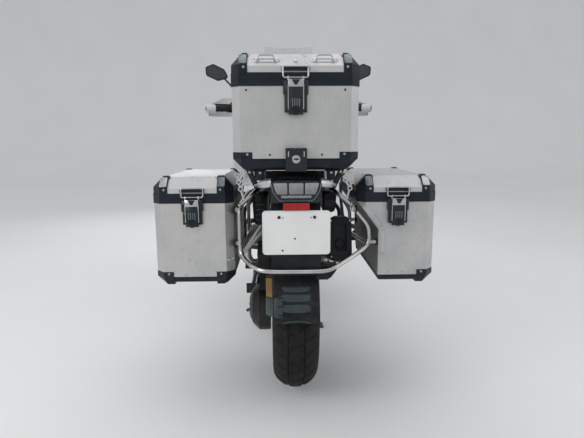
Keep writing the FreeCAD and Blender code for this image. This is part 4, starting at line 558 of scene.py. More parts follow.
class Shader:
    """A material's node tree, built by one method for every kind of node."""

    def __init__(self, name: str, tree: bpy.types.NodeTree | None = None) -> None:
        """Starts a material with an empty tree, or works in a tree that is given.

        Args:
            name: The material's name.
            tree: Tree to work in, for the sky.
        """
        if tree is None:
            self.material = bpy.data.materials.new(name)
            self.material.use_nodes = True
            tree = self.material.node_tree
        self.tree = tree
        self.tree.nodes.clear()

    def node(
        self, kind: str, settings: dict[str, object] | None = None,
        inputs: dict[object, object] | None = None, output: object = 0,
    ) -> Socket:
        """Adds a node.

        Args:
            kind: Its type.
            settings: Properties set first.
            inputs: Values or sockets by input name or number.
            output: Name or number of the output to give back.

        Returns:
            That output.
        """
        made = self.tree.nodes.new(kind)
        for key, value in (settings or {}).items():
            setattr(made, key, value)
        for key, value in (inputs or {}).items():
            if isinstance(value, Socket):
                self.tree.links.new(value.link, made.inputs[key])
            else:
                made.inputs[key].default_value = value
        return Socket(self, made.outputs[output])

    def place(self) -> Socket:
        """Gives the object coordinates."""
        return self.node("ShaderNodeTexCoord", output="Object")

    def stretched(self, scale: Triple) -> Socket:
        """Gives object coordinates scaled on each axis."""
        return self.node("ShaderNodeMapping", {}, {"Vector": self.place(), "Scale": scale})

    def noise(self, scale: float, detail: float, vector: Socket | None = None) -> Socket:
        """Gives soft noise from nought to one at features of 1 / scale metres."""
        inputs = {"Vector": vector or self.place(), "Scale": scale, "Detail": detail}
        return self.node("ShaderNodeTexNoise", {}, inputs, "Fac")

    def creases(self, scale: float) -> Socket:
        """Gives the distance to the nearest edge between small cells, 1 / scale metres wide."""
        inputs = {"Vector": self.place(), "Scale": scale}
        return self.node("ShaderNodeTexVoronoi", {"feature": "DISTANCE_TO_EDGE"}, inputs, "Distance")

    def ramp(self, value: Socket, low: float, high: float) -> Socket:
        """Spreads the stretch from low to high over nought to one."""
        inputs = {"Value": value, "From Min": low, "From Max": high}
        return self.node("ShaderNodeMapRange", {"clamp": True}, inputs)

    def mixed(self, share: Number, first: object, second: object) -> Socket:
        """Mixes two colours.

        Args:
            share: How much of the second, from nought to one.
            first: Colour or socket.
            second: Colour or socket.

        Returns:
            The mixed colour.
        """
        first = (*first, 1) if isinstance(first, tuple) else first
        second = (*second, 1) if isinstance(second, tuple) else second
        return self.node("ShaderNodeMix", {"data_type": "RGBA"}, {0: share, 6: first, 7: second}, 2)

    def axis(self, name: str) -> Socket:
        """Gives one of X, Y, Z of the object coordinates."""
        return self.node("ShaderNodeSeparateXYZ", {}, {0: self.place()}, name)

    def bump(self, height: Socket, depth: float) -> Socket:
        """Gives a normal tilted by a height in metres times depth."""
        return self.node("ShaderNodeBump", {}, {"Height": height, "Distance": depth})

    def surface(self, inputs: dict[object, object]) -> bpy.types.Material:
        """Ends the tree in a Principled surface.

        Args:
            inputs: Values or sockets by input name.

        Returns:
            The material.
        """
        principled = self.node("ShaderNodeBsdfPrincipled", {}, inputs)
        ending = self.tree.nodes.new("ShaderNodeOutputMaterial")
        self.tree.links.new(principled.link, ending.inputs["Surface"])
        return self.material


# Finishes


@dataclass(frozen=True)
class Finish:
    """A plain finish whose tone, gloss and grain vary over the surface.

    The colour drifts towards a second tone by broad noise and the roughness by middle noise, and a fine noise
    lifts the surface. Grime gathers low down, in soft patches.
    """

    name: str
    colour: Colour
    second: Colour
    metallic: float = 0.0
    roughness: float = 0.45
    spread: float = 0.12
    blotch: float = 14.0
    grain: float = 900.0
    depth: float = 0.00012
    stretch: Triple = (1.0, 1.0, 1.0)
    grime: float = 0.25
    coat: float = 0.0
    specular: float = 0.5
    dirt: Colour = (0.16, 0.145, 0.125)
    dirt_top: float = 0.75

    def material(self) -> bpy.types.Material:
        """Builds the material.

        Returns:
            The material.
        """
        shader = Shader(self.name)
        where = shader.stretched(self.stretch)
        broad = shader.ramp(shader.noise(self.blotch, 4, where), 0.32, 0.68)
        middle = shader.noise(self.blotch * 9, 3, where)
        fine = shader.noise(self.grain, 2, where)
        colour = shader.mixed(broad, self.colour, self.second)
        low = 1 - shader.ramp(shader.axis("Z"), 0.02, self.dirt_top)
        dirt = low * shader.ramp(shader.noise(26, 5), 0.35, 0.75) * self.grime
        colour = shader.mixed(dirt, colour, self.dirt)
        rough = (middle - 0.5) * (2 * self.spread) + self.roughness + dirt * 0.35
        inputs: dict[object, object] = {
            "Base Color": colour, "Metallic": self.metallic, "Roughness": rough,
            "Normal": shader.bump(fine, self.depth), "Coat Weight": self.coat, "Coat Roughness": 0.08,
            "Specular IOR Level": self.specular,
        }
        return shader.surface(inputs)


@dataclass(frozen=True)
class BlastedAlloy:
    """Alloy sheet of the cases: cloudy, with fine drawn lines, small scratches and dull handling marks."""

    name: str
    colour: Colour = (0.60, 0.578, 0.548)
    second: Colour = (0.43, 0.447, 0.450)
    lines: Triple = (260.0, 260.0, 9.0)
    bright: Colour = (0.72, 0.72, 0.71)
    dull: Colour = (0.34, 0.335, 0.32)
    scratches: Triple = (30.0, 30.0, 1400.0)

    def material(self) -> bpy.types.Material:
        """Builds the material.

        Returns:
            The material.
        """
        shader = Shader(self.name)
        cloud = shader.ramp(shader.noise(6.5, 6), 0.3, 0.7)
        drawn = shader.noise(1.0, 3, shader.stretched(self.lines))
        marks = shader.ramp(shader.noise(55, 6), 0.60, 0.72)
        scratch = shader.ramp(shader.noise(1.0, 2, shader.stretched(self.scratches)), 0.70, 0.74)
        colour = shader.mixed(cloud, self.colour, self.second)
        colour = shader.mixed(drawn * 0.35, colour, self.bright)
        colour = shader.mixed(marks * 0.30, colour, self.dull)
        rough = 0.36 + cloud * 0.14 + marks * 0.10 + drawn * 0.08
        height = drawn * 0.6 + scratch * 0.8
        return shader.surface({
            "Base Color": colour, "Metallic": 0.82, "Roughness": rough,
            "Normal": shader.bump(height, 0.00015),
        })


@dataclass(frozen=True)
class Leather:
    """Grained seat cover: small cells raised between fine creases, satin where it is sat on."""

    name: str
    colour: Colour = (0.030, 0.030, 0.032)
    second: Colour = (0.055, 0.053, 0.052)
    cells: float = 420.0

    def material(self) -> bpy.types.Material:
        """Builds the material.

        Returns:
            The material.
        """
        shader = Shader(self.name)
        worn = shader.ramp(shader.noise(9, 4), 0.35, 0.7)
        colour = shader.mixed(worn, self.colour, self.second)
        height = shader.ramp(shader.creases(self.cells), 0.0, 0.25) + shader.noise(1300, 2) * 0.3
        return shader.surface({
            "Base Color": colour, "Roughness": 0.62 - worn * 0.16, "Normal": shader.bump(height, 0.0003),
            "Specular IOR Level": 0.4,
        })


@dataclass(frozen=True)
class Tread:
    """Tyre rubber: near black, dusty grey in the grooves and on the shoulders."""

    name: str
    axle_y: float
    axle_z: float
    crown: float
    rubber: Colour = (0.006, 0.006, 0.007)
    dust: Colour = (0.024, 0.023, 0.021)

    def material(self) -> bpy.types.Material:
        """Builds the material.

        Returns:
            The material.
        """
        shader = Shader(self.name)
        ahead, height = shader.axis("Y") - self.axle_y, shader.axis("Z") - self.axle_z
        out = (ahead * ahead + height * height).power(0.5)
        groove = 1 - shader.ramp(out, self.crown - 0.018, self.crown - 0.002)
        dust = shader.ramp(shader.noise(34, 6), 0.35, 0.75)
        colour = shader.mixed(dust * 0.5 + groove * 0.25, self.rubber, self.dust)
        ribs = ((out * 1900.0).sine() * 0.5 + 0.5) * groove
        fine = shader.noise(1500, 2)
        return shader.surface({
            "Base Color": colour, "Roughness": 0.82 - dust * 0.12, "Specular IOR Level": 0.25,
            "Normal": shader.bump(ribs + fine, 0.00025),
        })


@dataclass(frozen=True)
class Clear:
    """Clear plastic or glass, tinted, with light scuffs in its gloss."""

    name: str
    colour: Colour
    alpha: float = 0.25
    roughness: float = 0.05

    def material(self) -> bpy.types.Material:
        """Builds the material.

        Returns:
            The material.
        """
        shader = Shader(self.name)
        scuff = shader.ramp(shader.noise(60, 5), 0.5, 0.8)
        shader.material.surface_render_method = "BLENDED"
        return shader.surface({
            "Base Color": (*self.colour, 1), "Roughness": scuff * 0.08 + self.roughness,
            "Alpha": scuff * 0.04 + self.alpha, "Specular IOR Level": 0.6, "Coat Weight": 0.5,
            "Normal": shader.bump(shader.noise(8, 2), 0.0004),
        })


@dataclass(frozen=True)
class SmokedLens:
    """Tail lamp cover: grey clear over upright flutes, with a painted reflection of the sky that makes it
    paler towards its top.
    """

    name: str
    flute: float = 0.0045
    # Levels over which the painted reflection of the sky fades in
    foot: float = 0.826
    top: float = 0.876
    dark: Colour = (0.12, 0.125, 0.13)
    painted_sky_reflection: Colour = (0.40, 0.41, 0.41)
    line: Colour = (0.05, 0.052, 0.055)

    def material(self) -> bpy.types.Material:
        """Builds the material.

        Returns:
            The material.
        """
        shader = Shader(self.name)
        wave = 2 * math.pi / self.flute
        flutes = (shader.axis("X") * wave).sine() * 0.5 + 0.5
        smoke = shader.ramp(shader.noise(42, 4), 0.3, 0.7)
        # Painted reflection of the sky: the lens gets paler towards its top, mixed with random smoke
        rise = shader.ramp(shader.axis("Z"), self.foot, self.top)
        colour = shader.mixed(rise * 0.7 + smoke * 0.3, self.dark, self.painted_sky_reflection)
        colour = shader.mixed(flutes * 0.22, colour, self.line)
        return shader.surface({
            "Base Color": colour, "Roughness": 0.12 + smoke * 0.08, "Coat Weight": 1.0,
            "Coat Roughness": 0.04, "Normal": shader.bump(flutes, 0.0005),
        })


@dataclass(frozen=True)
class Reflector:
    """Red reflector: a grid of small prisms under a glossy face."""

    name: str
    pitch: float = 0.0032
    dark: Colour = (0.30, 0.003, 0.005)
    red: Colour = (0.58, 0.010, 0.012)

    def material(self) -> bpy.types.Material:
        """Builds the material.

        Returns:
            The material.
        """
        shader = Shader(self.name)
        wave = 2 * math.pi / self.pitch
        prisms = (shader.axis("X") * wave).sine() * (shader.axis("Z") * wave).sine()
        colour = shader.mixed(shader.ramp(prisms, -0.6, 0.8), self.dark, self.red)
        return shader.surface({
            "Base Color": colour, "Roughness": 0.22 + prisms * 0.05, "Coat Weight": 0.35,
            "Specular IOR Level": 0.25, "Normal": shader.bump(prisms, 0.0005),
        })


@dataclass(frozen=True)
class HeatedSteel:
    """Exhaust tube: polished steel, straw and blue near the ports, plain further back."""

    name: str
    steel: Colour = (0.55, 0.54, 0.52)
    straw: Colour = (0.44, 0.33, 0.18)
    blue: Colour = (0.16, 0.17, 0.30)
    hot: Pair = (-0.10, 0.10)

    def material(self) -> bpy.types.Material:
        """Builds the material.

        Returns:
            The material.
        """
        shader = Shader(self.name)
        near = shader.ramp(shader.axis("Y"), *self.hot)
        heat = near * shader.ramp(shader.noise(9, 3), 0.2, 0.7)
        colour = shader.mixed(heat, self.steel, self.straw)
        blue = shader.ramp(shader.noise(17, 3), 0.5, 0.7) * near
        colour = shader.mixed(blue * 0.5, colour, self.blue)
        fine = shader.noise(700, 3)
        return shader.surface({
            "Base Color": colour, "Metallic": 1.0, "Roughness": 0.26 + fine * 0.14,
            "Normal": shader.bump(fine, 0.0001),
        })


@dataclass(frozen=True)
class PlateWhite:
    """Blank plate: white reflective sheet with a faint honeycomb and road film."""

    name: str
    colour: Colour = (0.80, 0.80, 0.79)
    film: Colour = (0.62, 0.61, 0.58)
    cells: float = 260.0

    def material(self) -> bpy.types.Material:
        """Builds the material.

        Returns:
            The material.
        """
        shader = Shader(self.name)
        film = shader.ramp(shader.noise(13, 5), 0.4, 0.8)
        colour = shader.mixed(film * 0.35, self.colour, self.film)
        return shader.surface({
            "Base Color": colour, "Roughness": 0.32 + film * 0.15,
            "Normal": shader.bump(shader.ramp(shader.creases(self.cells), 0, 0.08), 0.00008),
        })


class Finishes:
    """All materials, built once."""

    def __init__(self) -> None:
        """Builds each finish."""
        plastic = {"grain": 1100.0, "depth": 0.00018, "roughness": 0.46, "specular": 0.22}
        looks = {
            "frame": Finish("frame_coat", (0.009, 0.010, 0.012), (0.016, 0.017, 0.020), roughness=0.32,
                            specular=0.34),
            "engine": Finish("cast_engine", (0.26, 0.265, 0.27), (0.18, 0.182, 0.185), metallic=0.75,
                             roughness=0.50, grain=520.0, depth=0.0004, grime=0.55),
            "guard": Finish("guard_sheet", (0.55, 0.555, 0.56), (0.42, 0.425, 0.43), metallic=0.9,
                            roughness=0.36, stretch=(14.0, 1.0, 14.0), grain=60.0, grime=0.6),
            "cast_black": Finish("cast_black", (0.011, 0.012, 0.014), (0.020, 0.021, 0.024), metallic=0.2,
                                 roughness=0.40, grain=650.0, depth=0.0003, grime=0.35, specular=0.30),
            "spring": Finish("spring_coat", (0.62, 0.62, 0.60), (0.52, 0.52, 0.50), roughness=0.28, coat=0.6),
            "steel": Finish("rack_steel", (0.60, 0.595, 0.585), (0.46, 0.455, 0.45), metallic=1.0,
                            roughness=0.22, spread=0.10, depth=0.00006),
            "chrome": Finish("hard_chrome", (0.72, 0.72, 0.73), (0.66, 0.66, 0.67), metallic=1.0,
                             roughness=0.08, spread=0.03, grain=600.0, depth=0.00002),
            "bolt": Finish("zinc_bolt", (0.50, 0.50, 0.49), (0.36, 0.36, 0.35), metallic=1.0, roughness=0.34),
            "silver": Finish("silver_lacquer", (0.60, 0.605, 0.61), (0.54, 0.545, 0.555), metallic=0.7,
                             roughness=0.30, coat=0.7, grain=300.0, depth=0.00001, spread=0.05),
            "can": Finish("can_coat", (0.006, 0.0065, 0.008), (0.012, 0.013, 0.015), metallic=0.1,
                          roughness=0.34, grain=700.0, depth=0.0002, specular=0.26),
            "tank": Finish("tank_lacquer", (0.085, 0.095, 0.11), (0.10, 0.11, 0.125), metallic=0.45,
                           roughness=0.26, coat=0.8, grain=2600.0, depth=0.00005),
            "plastic": Finish("grained_plastic", (0.006, 0.007, 0.009), (0.012, 0.0135, 0.017), **plastic),
            "trim": Finish("case_trim", (0.005, 0.009, 0.014), (0.011, 0.018, 0.025), grain=800.0,
                           depth=0.00025, roughness=0.36, specular=0.26),
            "latch": Finish("latch_gloss", (0.007, 0.009, 0.012), (0.014, 0.017, 0.021), roughness=0.24,
                            specular=0.42),
            # The blue-grey on the mudguard's black bands and flank is painted sheen
            "band": Finish("guard_band_painted_sheen", (0.024, 0.037, 0.043), (0.036, 0.051, 0.058), roughness=0.28,
                           specular=0.35),
            # Blue-grey painted sheen for glossy black plastic: inner lid-cap panels, latch ribs and lamp keel
            "panel": Finish("cap_panel_painted_sheen", (0.075, 0.105, 0.115), (0.11, 0.145, 0.155), roughness=0.20,
                            coat=0.8),
            "rubber": Finish("soft_rubber", (0.014, 0.014, 0.014), (0.026, 0.025, 0.024), roughness=0.78,
                             grain=1500.0, depth=0.0003, specular=0.3),
            "grey": Finish("hand_guard_grey", (0.62, 0.63, 0.63), (0.53, 0.54, 0.545), **plastic),
            "gold": Finish("caliper_gold", (0.50, 0.31, 0.10), (0.38, 0.23, 0.075), metallic=0.6,
                           roughness=0.38, grime=0.4),
            "rim": Finish("rim_lacquer", (0.055, 0.056, 0.060), (0.075, 0.076, 0.08), metallic=0.5,
                          roughness=0.32, coat=0.5, grime=0.6),
            "disc": Finish("ground_disc", (0.46, 0.455, 0.45), (0.36, 0.355, 0.35), metallic=1.0,
                           roughness=0.30, grain=400.0),
            "mirror": Finish("mirror_face", (0.085, 0.095, 0.10), (0.07, 0.078, 0.083), metallic=1.0,
                             roughness=0.04, spread=0.02, depth=0.00002, grime=0.0),
            "alloy": BlastedAlloy("case_alloy"),
            "lid_alloy": BlastedAlloy("lid_alloy", (0.62, 0.615, 0.60), (0.50, 0.51, 0.51),
                                      (220.0, 12.0, 220.0)),
            "leather": Leather("seat_cover"),
            "front_tread": Tread("front_tread", REAR_AXLE_Y + WHEELBASE / 1000, FRONT_WHEEL_RADIUS / 1000,
                                 0.325),
            "rear_tread": Tread("rear_tread", REAR_AXLE_Y, REAR_WHEEL_RADIUS / 1000, 0.318),
            "screen": Clear("screen_clear", (0.55, 0.58, 0.60), 0.22),
            "glass": Clear("lamp_glass", (0.75, 0.78, 0.80), 0.30),
            "lens": SmokedLens("tail_lens_painted_sky"),
            "reflector": Reflector("red_reflector"),
            "exhaust": HeatedSteel("heated_steel"),
            "plate": PlateWhite("plate_sheet"),
        }
        self.by_name = {key: look.material() for key, look in looks.items()}

    def __getitem__(self, key: str) -> bpy.types.Material:
        """Gives a material by its short name."""
        return self.by_name[key]


# Pieces


class SubAssembly:
    """A part of the machine that makes its pieces from surfaces, each with finish and body."""

    finishes: ClassVar[Finishes]

    def build(self) -> None:
        """Adds the pieces."""
        raise NotImplementedError

    def piece(
        self, name: str, surface: Surface, finish: str, slot: str, body: Body = Body.CHASSIS,
        smooth: float = 40.0,
    ) -> bpy.types.Object:
        """Adds a piece.

        Args:
            name: Its name.
            surface: Its mesh in arrays.
            finish: Short name of its material.
            slot: Record's material slot; not used.
            body: Body that it rides on.
            smooth: Angle in degrees under which edges are smooth.

        Returns:
            The object.
        """
        mesh = bpy.data.meshes.new(name)
        faces = surface.quads.tolist() + [cap.tolist() for cap in surface.caps]
        mesh.from_pydata(surface.vertices.tolist(), [], faces)
        work = bmesh.new()
        work.from_mesh(mesh)
        bmesh.ops.recalc_face_normals(work, faces=work.faces)
        work.to_mesh(mesh)
        work.free()
        mesh.polygons.foreach_set("use_smooth", np.ones(len(mesh.polygons), bool))
        mesh.set_sharp_from_angle(angle=math.radians(smooth))
        mesh.materials.append(self.finishes[finish])
        made = bpy.data.objects.new(name, mesh)
        bpy.context.scene.collection.objects.link(made)
        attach(made, body.value)
        LOG.info("%s: %d vertices on %s", name, len(mesh.vertices), body.value)
        return made


@dataclass
class CadFinishes:
    """Gives each carried-over CAD node its finish."""

    wearers: ClassVar[dict[str, str]] = {
        "frame": "main_frame crash_bars stand_mounts handlebar centre_stand side_stand",
        "engine": "engine_case cylinders",
        "guard": "sump_guard",
        "cast_black": "swingarm telelever_arm footpegs fork_sliders",
        "exhaust": "exhaust_pipes",
        "can": "silencer",
        "tank": "fuel_tank",
        "silver": "tank_panels tail_cheeks",
        "plastic": "airbox nose_fairing instrument_panel tail_unit rear_hugger front_mudguard mirrors",
        "glass": "headlamp",
        "screen": "windscreen",
        "trim": "fog_lamps top_carrier case_feet case_rims "
                "top_case_lid_trim left_pannier_lid_trim right_pannier_lid_trim",
        "plate": "number_plate",
        "lens": "tail_lamp",
        "gold": "rear_caliper front_calipers",
        "steel": "pannier_racks",
        "alloy": "top_case_shell pannier_shells",
        "lid_alloy": "top_case_lid left_pannier_lid right_pannier_lid",
        "latch": "case_fittings",
        "chrome": "fork_stanchions",
        "rubber": "grips_and_levers",
        "grey": "hand_guards",
        "rim": "front_rim rear_rim",
        "disc": "front_discs rear_disc",
    }

    def dress(self, nodes: dict[str, bpy.types.Object], finishes: Finishes) -> None:
        """Assigns the finishes.

        Args:
            nodes: CAD objects by name.
            finishes: All materials.
        """
        for finish, names in self.wearers.items():
            for name in names.split():
                for place in nodes[name].material_slots:
                    place.material = finishes[finish]
            LOG.info("dressed %s in %s", names, finish)


@dataclass
class Tyre(SubAssembly):
    """Tyre with a block tread, in place of the plain one; sizes in millimetres."""

    node: str
    finish: str
    body: Body
    ahead: float
    height: float
    radius: float
    half_width: float
    bead_radius: float
    bead_half: float
    crown_drop: float
    blocks: int = 34
    groove: float = 5.5
    shoulder: float = 0.90
    turns: int = 680
    crown_points: int = 45
    wall_points: int = 8

    def section(self) -> tuple[Array, Array, Array]:
        """Works out the section: a crown arc between the shoulders, and walls that bulge down to the beads.

        Returns:
            Side and radius of each point, and its way across the crown, which is -1 and 1 on the walls.
        """
        crown_half = self.half_width * self.shoulder
        share = np.linspace(-1, 1, self.crown_points)
        across = share * crown_half
        arc = (crown_half**2 + self.crown_drop**2) / (2 * self.crown_drop)
        crown = self.radius - arc + np.sqrt(np.maximum(arc**2 - across**2, 0))
        down = np.linspace(0, 1, self.wall_points + 1)[1:]
        edge = self.radius - self.crown_drop
        wall_out = edge + (self.bead_radius - edge) * down
        bulge = (self.half_width - crown_half) * np.sin(np.minimum(down * 2.2, 1) * math.pi / 2)
        fall = np.maximum(down - 0.35, 0) / 0.65
        wall_side = crown_half + bulge - (self.half_width - self.bead_half) * fall**1.4
        wall = np.ones(self.wall_points)
        return (
            np.concatenate([-wall_side[::-1], across, wall_side]),
            np.concatenate([wall_out[::-1], crown, wall_out]),
            np.concatenate([-wall, share, wall]),
        )

    def grooves(self, turn: Array, place: Array) -> Array:
        """Gives the depth of the grooves.

        A slanted groove lies where the turn times the number of blocks, moved on by the way across, is near a
        whole number. Two more run all round, and the depth fades towards the walls.

        Args:
            turn: Turn round the axle of each row.
            place: Way across the crown of each column.

        Returns:
            Depths in millimetres.
        """
        phase = turn * self.blocks / (2 * math.pi)
        slant = (phase + 0.75 * np.abs(place) + 0.25 * (place > 0)) % 1.0
        slanted = np.clip((0.5 - np.abs(slant - 0.5)) / 0.10, 0, 1)
        round_ones = np.clip(np.abs(np.abs(place) - 0.36) / 0.055, 0, 1)
        rubber = np.minimum(np.where(np.abs(place) < 0.12, 1.0, slanted), round_ones)
        fade = np.clip((1.04 - np.abs(place)) / 0.10, 0, 1)
        return (1 - rubber) * fade * self.groove

    def build(self) -> None:
        """Turns the section round the axle with its grooves cut in."""
        side, out, place = self.section()
        turn = np.linspace(0, 2 * math.pi, self.turns, endpoint=False)[:, None]
        radius = out - self.grooves(turn, place)
        points = at(side, self.ahead + radius * np.cos(turn), self.height + radius * np.sin(turn))
        surface = grid(points, wrap_rows=True)
        made = self.piece(f"{self.node}_tread", surface, self.finish, "tyre_rubber", self.body, smooth=35)
        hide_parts(self.node)


@dataclass
class Spring:
    """Damper in a helical spring, with its cups and eyes; sizes in millimetres."""

    foot: Triple
    top: Triple
    coil_radius: float
    wire: float = 5.6
    turns: float = 7.0
    eye: float = 12.0
    tube: float = 20.0
    piston: float = 9.0

    def coil(self) -> Surface:
        """Works out the spring: a round wire whose middle runs round the axis as it climbs.

        Its ends don't climb, so that they lie as rings in the cups.

        Returns:
            The closed surface.
        """
        foot, top = at(*self.foot), at(*self.top)
        across, other, _ = basis(top - foot)
        share = np.linspace(0, 1, 260)
        climb = np.clip((share - 0.06) / 0.88, 0, 1)
        angle = share * self.turns * 2 * math.pi
        radial = np.cos(angle)[:, None] * across + np.sin(angle)[:, None] * other
        path = foot + (0.17 + 0.66 * climb)[:, None] * (top - foot) + radial * self.coil_radius / 1000
        tangent = np.gradient(path, axis=0)
        tangent /= np.linalg.norm(tangent, axis=1)[:, None]
        lift = np.cross(tangent, radial)
        wire = circle(self.wire / 1000, 8)
        return grid(path[:, None] + radial[:, None] * wire[None, :, :1] + lift[:, None] * wire[None, :, 1:])

    def damper(self) -> Surface:
        """Works out the damper: eyes, cups, tube and piston turned from one profile.

        Returns:
            The closed surface.
        """
        foot, top = at(*self.foot), at(*self.top)
        length = float(np.linalg.norm(top - foot)) * 1000
        cup = self.coil_radius + self.wire
        # Share of the length, and radius there
        rows = (
            (0, self.eye), (0.10, self.eye), (0.11, cup), (0.15, cup), (0.155, self.tube), (0.50, self.tube),
            (0.505, self.piston), (0.845, self.piston), (0.85, cup), (0.89, cup), (0.90, self.eye),
            (1, self.eye),
        )
        return lathe([(length * share, radius) for share, radius in rows], foot, top - foot, 28)


@dataclass
class Suspension(SubAssembly):
    """Both spring struts."""

    rear: Spring
    front: Spring

    def build(self) -> None:
        """Adds coils and dampers in place of the plain struts."""
        coils = self.rear.coil() + self.front.coil()
        self.piece("strut_coils", coils, "spring", "spring_paint", smooth=60)
        dampers = self.rear.damper() + self.front.damper()
        made = self.piece("strut_dampers", dampers, "cast_black", "spring_paint")
        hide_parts("spring_struts")


@dataclass
class Seat(SubAssembly):
    """Padded seat part with a welt along each side; sizes in millimetres."""

    node: str
    rows: tuple[Triple, ...]
    base: float
    crown: float = 7.0
    sections: int = 40
    steps: int = 72
    welt_share: float = 0.62
    voxel: float = 7.0
    pressure: float = 3.0
    cloth_frames: int = 12
    most_swell: float = 5.0

    def build(self) -> None:
        """Lofts the foam, swells it as cloth over air, and adds the welts.

        The section is a squarish oval whose upper half swells by a cosine across the width. Both ends are
        drawn in by the root of the way from the end.
        """
        ahead, half, top = (np.array(column, float) for column in zip(*self.rows))
        way = np.linspace(0, 1, self.sections)
        place = np.linspace(ahead[0], ahead[-1], self.sections)
        half, top = np.interp(place, ahead, half), np.interp(place, ahead, top)
        pinch = np.clip(np.minimum(way, 1 - way) / 0.05, 0, 1) ** 0.5
        wide = (half * (0.90 + 0.10 * pinch))[:, None]
        high = (self.base + (top - self.base) * (0.80 + 0.20 * pinch))[:, None]
        across, up = squarish(self.steps, 0.42, 0.36)
        level = (self.base + high) / 2 + (high - self.base) / 2 * up
        level = level + np.where(up > 0, self.crown * (np.cos(across * math.pi / 2) - 0.6), 0)
        pad = grid(at(wide * across, place[:, None], level))
        made = self.piece(f"{self.node}_pad", pad, "leather", "seat_cover", smooth=50)
        self.swell(made)
        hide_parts(self.node)
        run = np.linspace(0.04, 0.96, 60)
        line = at(
            np.interp(run, way, half) - 1.0, np.interp(run, way, place),
            np.interp(run, way, self.base + (top - self.base) * self.welt_share),
        )
        self.piece(f"{self.node}_welt", sweep(line, circle(0.0022, 8)).both(), "rubber", "seat_cover")

    def swell(self, made: bpy.types.Object) -> None:
        """Swells the pad with a short cloth run, and holds each point near its start and in the solid's box.

        Args:
            made: The pad.
        """
        scene = bpy.context.scene
        remesh = made.modifiers.new("remesh", "REMESH")
        remesh.mode = "VOXEL"
        remesh.voxel_size = self.voxel / 1000
        self.apply(made)
        before = self.coordinates(made)
        cloth = made.modifiers.new("cloth", "CLOTH")
        cloth.settings.use_pressure = True
        cloth.settings.uniform_pressure_force = self.pressure
        cloth.settings.effector_weights.gravity = 0
        for number in range(self.cloth_frames):
            scene.frame_set(number + 1)
        self.apply(made)
        shift = self.coordinates(made) - before
        size = np.linalg.norm(shift, axis=1)[:, None]
        after = before + shift * np.minimum(1, self.most_swell / 1000 / np.maximum(size, 1e-9))
        low, high = np.array(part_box(self.node))
        after = np.clip(after, low + 0.0004, high - 0.0002)
        made.data.vertices.foreach_set("co", after.ravel())
        made.data.polygons.foreach_set("use_smooth", np.ones(len(made.data.polygons), bool))
        made.data.update()
        scene.frame_set(1)

    @staticmethod
    def apply(made: bpy.types.Object) -> None:
        """Makes the modifiers' result the object's own mesh.

        Args:
            made: Object with modifiers.
        """
        graph = bpy.context.evaluated_depsgraph_get()
        fixed = bpy.data.meshes.new_from_object(made.evaluated_get(graph))
        made.modifiers.clear()
        made.data = fixed

    @staticmethod
    def coordinates(made: bpy.types.Object) -> Array:
        """Gives the mesh's vertices.

        Args:
            made: Object with a mesh.

        Returns:
            Points (n, 3).
        """
        out = np.empty(len(made.data.vertices) * 3)
        made.data.vertices.foreach_get("co", out)
        return out.reshape(-1, 3)


@dataclass(frozen=True)
class CaseSizes:
    """Levels and sizes of a case in millimetres; panniers share one set.

    The foot is a band of height base on floor. Lid and shell meet at joint; above it come the rim, the lip
    and the bevel. A protector reaches corner along each face, from corner_low to corner_top.
    """

    ends: Pair
    floor: float
    base: float
    joint: float
    rim: float
    lip: float
    bevel: float
    latch_half: float
    latch_drop: float
    corner: float
    corner_top: float
    corner_low: float
    chamfer: float = 27.0
    inset: float = 38.0

    @property
    def lip_top(self) -> float:
        """Level at which the bevel starts."""
        return self.joint + self.rim + self.lip


